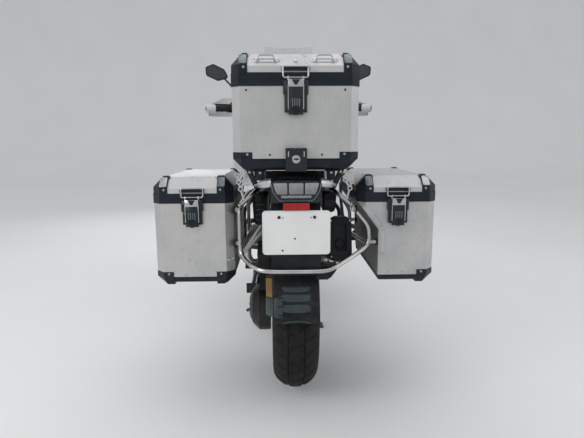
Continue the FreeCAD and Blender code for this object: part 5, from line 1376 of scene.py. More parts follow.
@dataclass
class CaseDetail(SubAssembly):
    """Fine parts of one case: foot, corner protectors, lid caps, latch, rivets and bolts.

    Sides are in millimetres from the middle plane. A corner is named by two signs: -1 for left or rear, and
    1 for right or front.
    """

    name: str
    body: Body
    size: CaseSizes
    sides: Pair
    foot_sides: Pair
    rivets: tuple[Pair, ...]

    @property
    def middle(self) -> float:
        """Middle of its width."""
        return (self.sides[0] + self.sides[1]) / 2

    def edge(self, side: int) -> float:
        """Place of its left or right face."""
        return self.sides[max(side, 0)]

    def face(self, end: int) -> float:
        """Place of its rear or front face."""
        return self.size.ends[max(end, 0)]

    def reached(self, side: int) -> bool:
        """Tells whether the foot reaches its left or right face."""
        return self.foot_sides[max(side, 0)] == self.edge(side)

    def build(self) -> None:
        """Adds the parts of shell and lid."""
        top_case = self.name == "top_case"
        made = self.piece(f"{self.name}_foot", self.foot(), "trim", "case_black", smooth=25)
        guards = [self.protector(side, end) for side in SIGNS for end in SIGNS if self.reached(side)]
        self.piece(f"{self.name}_protectors", joined(guards), "trim", "case_black", smooth=25)
        if top_case:
            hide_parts("case_feet")
        dots = [rivet(at(side, self.face(-1) - 0.3, height), -AHEAD, 3.6) for side, height in self.rivets]
        self.piece(f"{self.name}_rivets", joined(dots), "latch" if top_case else "bolt", "case_black")
        self.caps()
        self.bolts()
        self.latch()

    def foot(self) -> Surface:
        """Works out the base: an eight-sided band, upright at its ends and cut away below at its sides.

        Returns:
            The closed surface.
        """
        size = self.size
        left, right = (size.chamfer if self.reached(side) else 0.6 for side in SIGNS)
        rows = []
        # Share of the foot's height, and how far the band is drawn in there
        for share, shrink in ((0.01, 9.0), (0.14, 3.5), (0.2, 2.0), (0.85, 1.2), (0.88, 2.6), (0.99, 2.6)):
            lean = size.base * 0.9 * (1 - share)
            low = self.foot_sides[0] + shrink + lean * self.reached(-1)
            high = self.foot_sides[1] - shrink - lean * self.reached(1)
            back, ahead = size.ends[0] + shrink, size.ends[1] - shrink
            plan = [(low, back + left), (low + left, back), (high - right, back), (high, back + right),
                    (high, ahead - right), (high - right, ahead), (low + left, ahead), (low, ahead - left)]
            rows.append([at(side, way, size.floor + share * size.base) for side, way in plan])
        return grid(np.array(rows))

    def quarter(self, side: int, end: int, rows: Sequence[tuple[float, ...]]) -> Surface:
        """Lofts a corner piece whose plan is the case's cut corner closed by its own inner corner.

        Args:
            side: -1 for the left corner, 1 for the right.
            end: -1 for the rear corner, 1 for the front.
            rows: Height, shift outward at the side, shift outward at the end, way along the side and way
                along the end of each level.

        Returns:
            The closed surface.
        """
        edge, face, cut = self.edge(side), self.face(end), self.size.chamfer
        levels = []
        for height, out, proud, deep, broad in rows:
            outer, inner = edge + side * out, face - end * (cut + deep)
            plan = [
                (edge - side * (cut + broad), face + end * proud),
                (edge - side * cut + side * out * 0.4, face + end * proud),
                (outer, face - end * (cut - proud * 0.4)),
                (outer, inner),
                (edge - side * (cut + broad), inner),
            ]
            levels.append([at(x, y, height) for x, y in plan])
        return grid(np.array(levels))

    def protector(self, side: int, end: int) -> Surface:
        """Works out a corner protector: upright over the shell, then cut away towards its lower corner.

        Args:
            side: -1 for the left corner, 1 for the right.
            end: -1 for the rear corner, 1 for the front.

        Returns:
            The closed surface.
        """
        top, low, start = self.size.corner_top, self.size.corner_low, self.size.floor + self.size.base - 1
        broad, lean = self.size.corner - self.size.chamfer, (start - low) * 0.95
        return self.quarter(side, end, [
            (low, -lean, -lean * 0.45, 20, broad), (low + 2, -lean + 2, 1.2 - lean * 0.36, 22, broad),
            (start - 1, 0.1, 1.8, 30, broad), (start, 0.9, 1.8, 30, broad), (top - 1, 0.9, 1.8, 30, broad),
            (top, 0.2, 0.6, 29, broad - 1),
        ])

    def caps(self) -> None:
        """Adds a black cap over each corner of the lid, with a raised panel on its slope coloured as a
        painted highlight: bright alloy on outer corners, blue-grey sheen on the others.
        """
        lip, top, inset = self.size.lip_top, self.size.lip_top + self.size.bevel, self.size.inset
        rows = [(self.size.joint + self.size.rim + 0.2, 0.6, 2.6, 26, 26), (lip + 5, 0.2, 2.4, 26, 26),
                (top + 1, 7 - inset, 7 - inset, 26, 26), (top + 4, 4 - inset, 4 - inset, 24, 24)]
        rise, back, middle_share = self.size.bevel - 4.0, inset - 4.6, 0.47
        outline = rounded_box(0.0125, 0.0215, 0.006)
        blocks: list[Surface] = []
        panels: dict[str, list[Surface]] = {"panel": [], "guard": []}
        for side in SIGNS:
            # Outer corners' panels take bright alloy and the others blue-grey: both are painted highlights on
            # the glossy cap
            finish = "guard" if side * self.middle > 0 else "panel"
            for end in SIGNS:
                slope = np.array([0.0, -end * back, rise])
                middle = at(self.edge(side) - side * (self.size.chamfer + 11),
                            self.face(end) + end * (2.4 - back * middle_share), lip + 5 + rise * middle_share)
                along = slope / np.linalg.norm(slope)
                panels[finish].append(plate(middle, RIGHT * -end, along, outline, 0.0018, 0.0008))
                blocks.append(self.quarter(side, end, rows))
        self.piece(f"{self.name}_lid_caps", joined(blocks), "trim", "case_black", self.body, smooth=25)
        for finish, plates in panels.items():
            if plates:
                self.piece(f"{self.name}_cap_{finish}s", joined(plates), finish, "case_black", self.body)

    def bolts(self) -> None:
        """Adds the bright bolts through protectors and caps."""
        rear, cap, guard = self.face(-1), self.size.chamfer + 14, self.size.corner - 16
        lid = [(self.edge(side) - side * cap, self.size.lip_top - 4) for side in SIGNS]
        shell = [(self.edge(side) - side * guard, self.size.corner_top - 7)
                 for side in SIGNS if self.reached(side)]
        heads = rear_bolts(shell, rear - 1.7, 4.2, 2.4)
        self.piece(f"{self.name}_corner_bolts", heads, "bolt", "stainless")
        heads = rear_bolts(lid, rear - 2.4, 4.2, 2.6)
        self.piece(f"{self.name}_cap_bolts", heads, "bolt", "stainless", self.body)

    def latch(self) -> None:
        """Adds the latch: covers, rails, notched strike plate, barrel, ribs, hinge screws, tabs and bail."""
        wide, middle, rear, joint, rim = (
            self.size.latch_half, self.middle, self.face(-1) - 2, self.size.joint, self.size.rim,
        )
        low, high, split = joint - rim - self.size.latch_drop, joint - 4, joint - rim - 27
        centre, lock, face = (low + high) / 2, low + 9, rear - 19.8
        bulge = [(0, 18.0), (1.2, 18.6), (3.4, 17.4), (4.0, 14.5), (4.0, 0.2)]
        covers = [
            rear_plate(middle, rear - 8.8, (split + high) / 2, wide - 1, (high - split) / 2, 9, 3.6, 1.6),
            rear_plate(middle, rear - 8.8, (low + split) / 2 + 1, wide - 5, (split - low) / 2, 5, 2.6, 1.2),
            rear_plate(middle, rear - 16.8, centre - 7, wide * 0.56, (high - low - 4) / 2, 8, 3.0, 1.4),
            lathe(bulge, at(middle, rear - 16.8, lock), -AHEAD, 32),
        ]
        strike = rear_plate(middle, face, high - 10, wide * 0.62, 11.5, 1.5, 2.0)
        rails = [rear_plate(middle + side * wide * 0.60, rear - 11.0, centre - 2, 1.3, (high - low - 22) / 2,
                            0.8, 8.5, 0.5) for side in SIGNS]
        ring = [(-0.2, 12.0), (1.3, 11.8), (1.6, 10.8), (1.3, 9.6), (0.4, 9.2), (0.4, 0.2)]
        barrel = lathe(ring, at(middle, rear - 20.6, lock), -AHEAD, 28)
        notch = np.array([[-0.34, 0.0105], [-0.10, -0.006], [0.10, -0.006], [0.34, 0.0105]])
        notch[:, 0] *= wide / 1000
        dark = plate(at(middle, face - 1.9, high - 9.6), RIGHT, UP, notch, 0.0006, 0.0001)
        ribs = [rear_plate(middle + offset, rear - 19.7, low + 30, 1.7, 12.5, 1.5, 2.2)
                for offset in (-10.5, -3.5, 3.5, 10.5)]
        hinge = [(middle + side * wide * 0.62, joint + rim + 9.5) for side in SIGNS]
        tabs = [rear_plate(middle + side * wide * 0.60, rear - 8.4, joint + 2, 2.8, 6, 1.5, 2.0)
                for side in SIGNS]
        # The bail's wire runs along a rectangle with bent corners
        foot, top = joint + 4, joint + rim + 18
        loop = rounded_box(wide / 1000, (top - foot) / 2000, 0.006, 6)
        path = at(middle, self.face(-1) - 7, (foot + top) / 2) + loop[:, :1] * RIGHT + loop[:, 1:] * UP
        bail = sweep(path, circle(0.0030, 10), AHEAD, closed=True)
        for name, surface, finish, slot, body in (
            ("latch_covers", joined(covers), "latch", "case_black", Body.CHASSIS),
            ("latch_metal", joined([strike] + rails), "steel", "stainless", Body.CHASSIS),
            ("latch_barrel", barrel, "cast_black", "case_black", Body.CHASSIS),
            ("latch_notch", dark, "latch", "case_black", Body.CHASSIS),
            # The latch ribs wear the blue-grey painted sheen
            ("latch_ribs", joined(ribs), "panel", "case_black", Body.CHASSIS),
            ("bail_screws", rear_bolts(hinge, rear - 7, 4.4, 1.6), "cast_black", "case_black", self.body),
            ("latch_tabs", joined(tabs), "steel", "stainless", Body.CHASSIS),
            ("bail", bail, "steel", "stainless", self.body),
        ):
            self.piece(f"{self.name}_{name}", surface, finish, slot, body)


@dataclass
class Luggage(SubAssembly):
    """Detail of all three cases: their own parts, the lock, lashing handles and pressed strips."""

    cases: tuple[CaseDetail, ...]
    lock_rear: float = -345.6
    lock_height: float = 950.0
    lid_rear: float = -310.0
    lid_lip: float = 1242.0
    pannier_rear: float = -250.3

    def build(self) -> None:
        """Adds every case's parts."""
        for case in self.cases:
            case.build()
        self.lock()
        self.handles()
        self.strips()

    def lock(self) -> None:
        """Adds the rounded housing, key ring and slot of the lock below the top case."""
        rear, height = self.lock_rear, self.lock_height
        housing = rear_plate(0, rear + 1.6, height - 2, 33.5, 36, 12, 1.6, 1.2, 8)
        rails = [rear_plate(side * 25, rear + 0.4, height + 16, 1.6, 8.5, 1, 1.4, 0.4) for side in SIGNS]
        ring = [(-0.6, 12.8), (0.5, 12.8), (0.9, 12.2), (0.9, 8.8), (0.55, 8.4), (0.55, 0.2)]
        barrel = lathe(ring, at(0, rear, height), -AHEAD, 36)
        self.piece("lock_housing", housing, "latch", "case_black")
        self.piece("lock_ring", joined([barrel] + rails), "steel", "stainless")
        slot = rear_plate(0, rear - 0.5, height, 7.8, 2.6, 2, 0.4, 0.1)
        self.piece("lock_slot", slot, "latch", "case_black")

    def handles(self) -> None:
        """Adds the lashing handles that lie on the rear bevel of the top case's lid."""
        along = np.array([0.0, 38.0, 41.0])
        along /= np.linalg.norm(along)
        out = np.cross(RIGHT, along)
        loop = np.array([[-30, -8, 2], [-27, -7, 8], [-21, 9, 10], [0, 10, 10.5], [21, 9, 10], [27, -7, 8],
                         [30, -8, 2]], float) / 1000
        parts, plates = [], []
        for side in SIGNS:
            base = at(side * 93, self.lid_rear + 19, self.lid_lip + 20.5)
            plates.append(plate(base, RIGHT, along, rounded_box(0.0445, 0.0115, 0.011, 8), 0.0026, 0.0010))
            path = base + loop[:, :1] * RIGHT + loop[:, 1:2] * along + loop[:, 2:] * out
            parts.append(sweep(smooth_path(path, 8), circle(0.0026, 8), out))
            parts += [bolt(base + RIGHT * offset / 1000 + out * 0.0026, out, 4.2, 1.6)
                      for offset in (-38, 38)]
        knob = [(0, 6.5), (2.2, 6.5), (3.4, 5.0), (3.4, 0.2)]
        parts.append(lathe(knob, at(0, self.lid_rear + 16, self.lid_lip + 17), out, 24))
        self.piece("lashing_plates", joined(plates), "silver", "stainless", Body.TOP_LID)
        self.piece("lashing_handles", joined(parts), "steel", "stainless", Body.TOP_LID)

    def strips(self) -> None:
        """Adds the pressed strips by the cut-out, and the bolts and a bright steel strip on the left case's
        inner corner; the strip is a painted highlight.
        """
        upright = rear_plate(305, self.pannier_rear, 652, 9, 46, 8.5, 2.2, 1, 6)
        lean = math.atan2(63, 79)
        level = np.array([math.cos(lean), 0, math.sin(lean)])
        upward = np.array([-math.sin(lean), 0, math.cos(lean)])
        outline = rounded_box(0.0098, 0.050, 0.0094, 6)
        slanted = plate(at(267.5, self.pannier_rear, 749.5), level, upward, outline, 0.0024, 0.001)
        self.piece("cut_out_strips", upright + slanted, "alloy", "case_alloy")
        studs = rear_bolts(((296, 714), (239, 785), (305, 616)), self.pannier_rear - 2.3, 4.6, 2.2)
        self.piece("strip_bolts", studs, "bolt", "stainless")
        across = np.array([1.0, 1.0, 0.0]) / math.sqrt(2)
        out = np.cross(across, UP)
        corner = at(-229.5, -236.5, 0)
        heads = [bolt(corner + UP * height / 1000 + across * shift, out, 3.8, 2.6)
                 for height, shift in ((768, -0.006), (762, 0.007), (568, 0.0))]
        self.piece("inner_corner_bolts", joined(heads), "bolt", "stainless")
        # Bright steel strip where the inner chamfer shows only a highlight: a painted highlight
        band = plate(corner + UP * 0.598, across, UP, rounded_box(0.0175, 0.0045, 0.001), 0.0012, 0.0004)
        self.piece("inner_corner_painted_highlight", band, "steel", "stainless")


@dataclass
class Tail(SubAssembly):
    """Tail lamp, reflector, wings, the mudguard's bands, and the plate's rim and screws."""

    lamp_rear: float = -322.0
    lamp_foot: float = 807.0
    lamp_top: float = 875.0
    reflector_rear: float = -334.0
    plate_rear: float = -330.0
    plate_middle: float = 708.0
    axle: float = REAR_WHEEL_RADIUS
    guard_radius: float = 336.2

    def build(self) -> None:
        """Adds the parts at the tail."""
        self.lenses()
        self.wings()
        self.bands()
        self.plate_parts()

    def lenses(self) -> None:
        """Adds three lens panels, the bezel and keel round them, a bright lower lip and the reflector.

        Each lens is a shallow dome, flat over its middle and rounded to its rim by a sixth power; the outer
        two lean inward at their feet.
        """
        u, v = np.linspace(0, 1, 20)[:, None], np.linspace(0, 1, 16)[None, :]
        drop = (1 - v) ** 1.6
        low, high = self.lamp_foot + 26, self.lamp_top - 2
        dome = 3.4 * (1 - np.abs(2 * u - 1) ** 6) * (1 - np.abs(2 * v - 1) ** 6)
        panels = []
        # Left and right end of each lens at its top, and how far each end leans in at its foot
        for left, right, lean_left, lean_right in ((-76, -28, 13, 0), (-25, 25, 0, 0), (28, 76, 0, -13)):
            start, stop = left + lean_left * drop, right + lean_right * drop
            side, level = start + (stop - start) * u, low + (high - low) * v
            panels.append(closed_sheet(at(side, self.lamp_rear - 0.2 - dome, level),
                                       at(side, self.lamp_rear + 1.0, level)))
        self.piece("tail_lenses", joined(panels), "lens", "lamp_smoke", smooth=60)
        lip = rear_plate(0, self.lamp_rear, self.lamp_foot + 20, 50, 4.2, 3, 3.4)
        self.piece("tail_lower_lip", lip, "glass", "lamp_glass")
        bezel = rear_plate(0, self.lamp_rear - 0.1, (self.lamp_foot + self.lamp_top) / 2, 84.2, 33.9, 7, 1.0)
        self.piece("tail_lamp_bezel", bezel, "latch", "black_plastic")
        prisms = rear_plate(0, self.reflector_rear, self.lamp_foot - 12.3, 43.3, 11.9, 2, 1.4)
        self.piece("red_reflector", prisms, "reflector", "lamp_smoke")
        keel = [at(side, self.lamp_rear - 1.0, height) for side, height in
                ((-81, 870), (-78, 846), (-56, 813), (56, 813), (78, 846), (81, 870))]
        rim = sweep(bent(keel, 0.010), circle(0.0017, 8), AHEAD)
        # The keel wears the blue-grey painted sheen
        self.piece("tail_lamp_keel", rim, "panel", "black_plastic")

    def wings(self) -> None:
        """Adds swept wings in place of the plain cheeks: squarish ovals that shrink towards the tip."""
        # Side, lowest and highest level, rear and front of each section
        rows = np.array([
            (83.0, 856, 885, -319, -254), (92, 853.5, 884.5, -313, -252), (100, 851, 883, -305, -249),
            (110, 849.5, 880, -296, -246), (120, 850.5, 875.5, -286, -245), (128, 854, 869.5, -277, -246),
            (133, 858, 864.5, -268, -250),
        ])
        side, low, high, rear, front = (rows[:, index, None] for index in range(5))
        cosine, sine = squarish(28, 0.6, 0.6)
        ahead = (rear + front) / 2 + (front - rear) / 2 * cosine
        points = at(side, ahead, (low + high) / 2 + (high - low) / 2 * sine)
        made = self.piece("tail_wings", grid(points).both(), "silver", "panel_silver", smooth=50)
        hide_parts("tail_cheeks")

    def bands(self) -> None:
        """Adds the bands on the mudguard, its left flank and the wing below the plate; bands and flank carry
        a blue-grey painted sheen.

        Each band is a patch on the guard's cylinder, raised by a fourth and sixth power of the ways across;
        its middle is bent up or down by the square of the way across. The flank leaves the cylinder past the
        guard's edge.
        """
        u, v = np.linspace(-1, 1, 27)[:, None], np.linspace(-1, 1, 13)[None, :]
        raised = 1.8 + 2.0 * (1 - v**4) * (1 - u**6)
        sheets = []
        # Level, half height, and how far the middle is bent up
        for level, half, bow in ((505, 9.5, -3.0), (477, 12.5, -2.0), (443, 13.5, -2.0), (393, 3.4, 7.0)):
            height = level + bow * (1 - u**2) + half * v * (1 - 0.4 * u**4)
            sheets.append(closed_sheet(*(self.on_guard(u * 50, height, proud) for proud in (raised, -2.0))))
        share = (u + 1) / 2
        height = 411 + share + (57 + 14 * share) * (v + 1) / 2
        inward = -40 * np.maximum(0, 1 - share / 0.6) ** 1.3
        raised = 1.4 + 1.4 * (1 - v**6) * (1 - u**8)
        sheets.append(closed_sheet(
            *(self.on_guard(-106 + 58 * share, height, inward + proud) for proud in (raised, -1.4))
        ))
        # Bands and flank in blue-grey: painted sheen on black plastic
        self.piece("mudguard_bands", joined(sheets), "band", "black_plastic", smooth=60)
        outline = np.array([(-36, -17), (2, -17), (14, -9), (30, 12), (36, 24), (-36, 20)], float) / 1000
        wing = plate(at(104, -288, 558), RIGHT, UP, outline, 0.028, 0.003)
        self.piece("mudguard_wing", wing, "plastic", "black_plastic")

    def on_guard(self, side: Array, height: Array, proud: Array | float) -> Array:
        """Gives places at a distance outside the mudguard's cylinder, by side and height."""
        return at(side, -np.sqrt((self.guard_radius + proud) ** 2 - (height - self.axle) ** 2), height)

    def plate_parts(self) -> None:
        """Adds the plate's pressed rim, its screws and the small dark heads on its face."""
        rear = self.plate_rear
        outer = rounded_box(0.1105, 0.0720, 0.011, 6)
        loop = at(0, rear - 0.1, self.plate_middle) + outer[:, :1] * RIGHT + outer[:, 1:] * UP
        rim = sweep(loop, circle(0.0011, 6), AHEAD, closed=True)
        self.piece("plate_rim", rim, "plate", "plate_white")
        screws = rear_bolts(((-57, 760), (60, 760)), rear, 5.0, 3.0)
        heads = [rivet(at(side, rear, height), -AHEAD, radius) for side, height, radius in
                 ((-5, 688, 3.0), (-46, 648, 3.4), (-44, 758, 2.0), (49, 759, 2.0))]
        self.piece("plate_screws", joined([screws] + heads), "cast_black", "frame_paint")


@dataclass
class Racks(SubAssembly):
    """Pannier racks in bent tube, in place of the plain ones: the lower tube runs behind the mudguard."""

    tube: float = 8.0
    bend: float = 34.0
    inside: float = 196.0
    right: float = 260.0
    high: float = 786.0
    low: float = 596.0
    slant: float = 706.0
    rear: float = -232.0
    front: float = 236.0

    def runs(self) -> list[tuple[list[Array], Array]]:
        """Lists the tubes.

        Returns:
            Each tube's corners, with a direction that it never takes.
        """
        inside, right, high, low = self.inside, self.right, self.high, self.low
        rear, front = self.rear, self.front
        left_loop = [at(-inside, ahead, height) for ahead, height in
                     ((0, low), (front, low), (front, high), (rear, high), (rear, low), (0, low))]
        right_loop = [at(side, ahead, height) for side, ahead, height in (
            (right, 0, low + 26), (right, front, low), (right, front, self.slant), (inside, front, high),
            (inside, rear, high), (right, rear, self.slant), (right, rear, low + 52), (right, 0, low + 26),
        )]
        runs = [(left_loop, RIGHT), (right_loop, RIGHT)]
        for side in SIGNS:
            to_tail = ((inside, rear, high - 2), (140, rear + 20, 832), (126, rear + 90, 842))
            to_seat = ((inside, front, high - 2), (160, front + 8, 800), (143, 340, 800))
            for corners, reference in ((to_tail, RIGHT), (to_seat, UP)):
                runs.append(([at(side * out, ahead, height) for out, ahead, height in corners], reference))
        return runs

    def build(self) -> None:
        """Adds tubes, pannier mounts and weld beads."""
        outline = circle(self.tube / 1000, 14)
        tubes = [sweep(bent(points, self.bend / 1000), outline, reference)
                 for points, reference in self.runs()]
        # The bent tube behind the mudguard, from the left rack to the right one
        behind = (
            (-196, -234, 652), (-191, -242, 618), (-172, -272, 598), (-142, -306, 585), (-100, -331, 578),
            (0, -333, 576), (91, -331, 577), (129, -318, 585), (170, -290, 600), (214, -259, 619),
            (250, -238, 640), (260, -233, 668),
        )
        tubes.append(sweep(smooth_path([at(*place) for place in behind], 6), outline, AHEAD))
        bead = [(-4.5, 7.0), (-3, 9.0), (0, 9.7), (3, 9.0), (4.5, 7.0)]
        puck = [(0, 8.2), (0, 12.5), (1, 13.5), (5, 13.5), (6, 12.5), (6, 8.2)]
        mounts, beads = [], []
        for side in SIGNS:
            upright, wall = (self.inside, 216) if side < 0 else (self.right, 290)
            for ahead in (self.rear, self.front):
                for start, stop, height in ((self.inside, 216, 772), (upright, wall, 654)):
                    run = np.stack([at(side * start, ahead, height), at(side * (stop - 0.4), ahead, height)])
                    tubes.append(sweep(run, outline, UP))
                    mounts.append(lathe(puck, run[1], RIGHT * -side, 24))
                    beads.append(lathe(bead, run[0] + RIGHT * side * 0.0085, RIGHT, 16))
            tail_end = at(side * 194, self.rear, self.high)
            beads.append(lathe(bead, tail_end, np.array([side * 56, -20, -48]), 16))
        for end in (at(-195.5, -234, 650), at(260, -233, 668)):
            beads.append(lathe(bead, end, UP, 16))
        made = self.piece("rack_tubes", joined(tubes), "steel", "stainless", smooth=50)
        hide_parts("pannier_racks")
        self.piece("rack_mounts", joined(mounts), "trim", "black_plastic")
        self.piece("rack_welds", joined(beads), "bolt", "stainless", smooth=60)


@dataclass
class CarrierDetail(SubAssembly):
    """Struts, holed brackets, rods and blocks round the top case's carrier, and the side covers."""

    plane: float = -224.0
    block_side: float = 119.0
    block_height: float = 897.0
    cover_side: float = 127.0
    cover_rear: float = -150.0
    cover_length: float = 220.0
    cover_top: float = 827.0
    ring_outer: float = 8.8

    def build(self) -> None:
        """Adds the parts."""
        self.struts()
        self.brackets()
        self.under_case()
        self.covers()

    def struts(self) -> None:
        """Adds the black flat struts from the case's foot to the racks, and bright stays below them."""
        run = np.stack([at(163, self.plane - 4, 916), at(132, self.plane + 4, 846)])
        strut = sweep(run, rounded_box(0.0095, 0.004, 0.003, 4), AHEAD).both()
        self.piece("carrier_struts", strut, "frame", "frame_paint")
        heads = rear_bolts(((157, 902), (137, 857)), self.plane - 6.5, 5.0, 3.0)
        self.piece("strut_bolts", heads.both(), "bolt", "frame_paint")
        stays = []
        for drop in (0.0, 24.0):
            stay = np.stack([at(-190, -150, 604 - drop * 0.2), at(-116 + drop * 0.3, -126, 708 - drop)])
            stays.append(sweep(stay, rounded_box(0.0062, 0.0030, 0.002, 4), AHEAD))
        self.piece("rack_stays", joined(stays), "silver", "stainless")

    def brackets(self) -> None:
        """Adds the light brackets: rings at their joints, linked by flat bars."""
        # Side and height of each joint; the first five have rings
        joints = ((200, 892), (180, 897), (196, 868), (174, 874), (190, 844), (178, 804), (152, 910))
        ring_count = 5
        rings = [washer(at(side, self.plane - 2, height), -AHEAD, 4.8, self.ring_outer, 4.4)
                 for side, height in joints[:ring_count]]
        bars = []
        for start, stop in ((0, 1), (0, 2), (1, 3), (2, 3), (1, 2), (2, 4), (3, 4), (4, 5), (1, 6)):
            first, last = (at(joints[index][0], self.plane - 4, joints[index][1]) for index in (start, stop))
            way = (last - first) / np.linalg.norm(last - first)
            gap = (self.ring_outer - 2) / 1000
            first, last = first + way * gap * (start < ring_count), last - way * gap * (stop < ring_count)
            bars.append(sweep(np.stack([first, last]), rounded_box(0.0034, 0.0018, 0.001, 3), AHEAD))
        self.piece("holed_brackets", joined(rings + bars).both(), "silver", "guard_alloy")

    def under_case(self) -> None:
        """Adds the chrome rods and black end blocks along the carrier's rear edge."""
        side, height = self.block_side, self.block_height
        rod = lathe([(0, 2.2), (1.2, 3.8), (66, 3.8), (67.2, 2.2)], at(33, -259, 910), RIGHT, 16)
        self.piece("carrier_rods", rod.both(), "chrome", "chrome_tube")
        block = rear_plate(side, -256.5, height, 13.5, 20, 5, 22, 2)
        rib = rear_plate(side, -278, height, 8.5, 15, 4, 2.2, 1)
        self.piece("carrier_blocks", (block + rib).both(), "trim", "case_black")
        heads = rear_bolts(((side, height + 6),), -280, 4.6, 2.4)
        self.piece("carrier_bolts", heads.both(), "bolt", "frame_paint")

    def covers(self) -> None:
        """Adds the side covers below the tail rails, with ribs across their rear ends.

        A cover is a squarish oval drawn in at both ends by the root of the way from the end, and narrower
        towards its foot, which rises as it runs ahead.
        """
        way = np.linspace(0, 1, 26)[:, None]
        pinch = np.clip(np.minimum(way, 1 - way) / 0.14, 0, 1) ** 0.5
        cosine, sine = squarish(36, 0.5, 0.35)
        top, ahead = self.cover_top, self.cover_rear + self.cover_length * way
        shells, ribs = [], []
        for side, low in ((-1, 694.0), (1, 742.0)):
            foot = low + 22 * way
            level = (top + foot) / 2 + (top - foot) / 2 * (0.78 + 0.22 * pinch) * sine
            half = (20 + 11 * pinch) * cosine * (1 - 0.18 * (top - level) / (top - low))
            shells.append(grid(at(side * (self.cover_side + half), ahead, level)))
            for index in range(4):
                height = low + 30 + index * (top - 60 - low) / 4
                run = np.stack([at(side * self.cover_side + reach, self.cover_rear - 0.6, height)
                                for reach in (-17, 17)])
                ribs.append(sweep(run, rounded_box(0.0016, 0.0028, 0.0012, 4), UP))
        self.piece("side_covers", joined(shells), "plastic", "black_plastic", smooth=50)
        self.piece("side_cover_ribs", joined(ribs), "latch", "black_plastic")


@dataclass
class ExhaustDetail(SubAssembly):
    """Heat shield, end cap screws and outlet lining of the silencer."""

    side: float = 163.5
    width: float = 87.0
    rear: float = -200.0
    centre: float = 658.0
    slope: float = math.radians(12)

    def build(self) -> None:
        """Adds the parts, placed along the can and up from its middle line."""
        back = np.array([0.0, math.cos(self.slope), -math.sin(self.slope)])
        upward = np.array([0.0, math.sin(self.slope), math.cos(self.slope)])

        def on_can(along: float, up: float, side: float) -> Array:
            """Gives a place on the can: along it from its rear, up from its middle line, and to its right."""
            return at(self.side + side, self.rear, self.centre) + (back * along + upward * up) / 1000

        outline = rounded_box(0.0235, 0.056, 0.012, 6)
        rim = on_can(-1.0, 8, 0) + outline[:, :1] * RIGHT + outline[:, 1:] * upward
        frame = sweep(rim, rounded_box(0.0022, 0.0022, 0.001, 3), back, closed=True)
        pipe = [(0, 16.0), (-13, 16.0), (-14, 17.4), (-13, 18.6), (10, 18.6), (10, 16.0)]
        parts = frame + lathe(pipe, on_can(9, -18, 0), back, 28)
        self.piece("silencer_end_parts", parts, "cast_black", "silencer_black")
        screws = [bolt(on_can(-0.2, up, side), -back, 3.4, 2.6)
                  for side, up in ((-34, 66), (34, 66), (-34, -64), (34, -64))]
        self.piece("silencer_screws", joined(screws), "bolt", "silencer_black")
        outline = rounded_box(0.130, 0.036, 0.02, 6)
        shield = plate(on_can(250, 18, self.width / 2 + 0.4), AHEAD, UP, outline, 0.0024, 0.001)
        self.piece("silencer_shield", shield, "cast_black", "silencer_black")


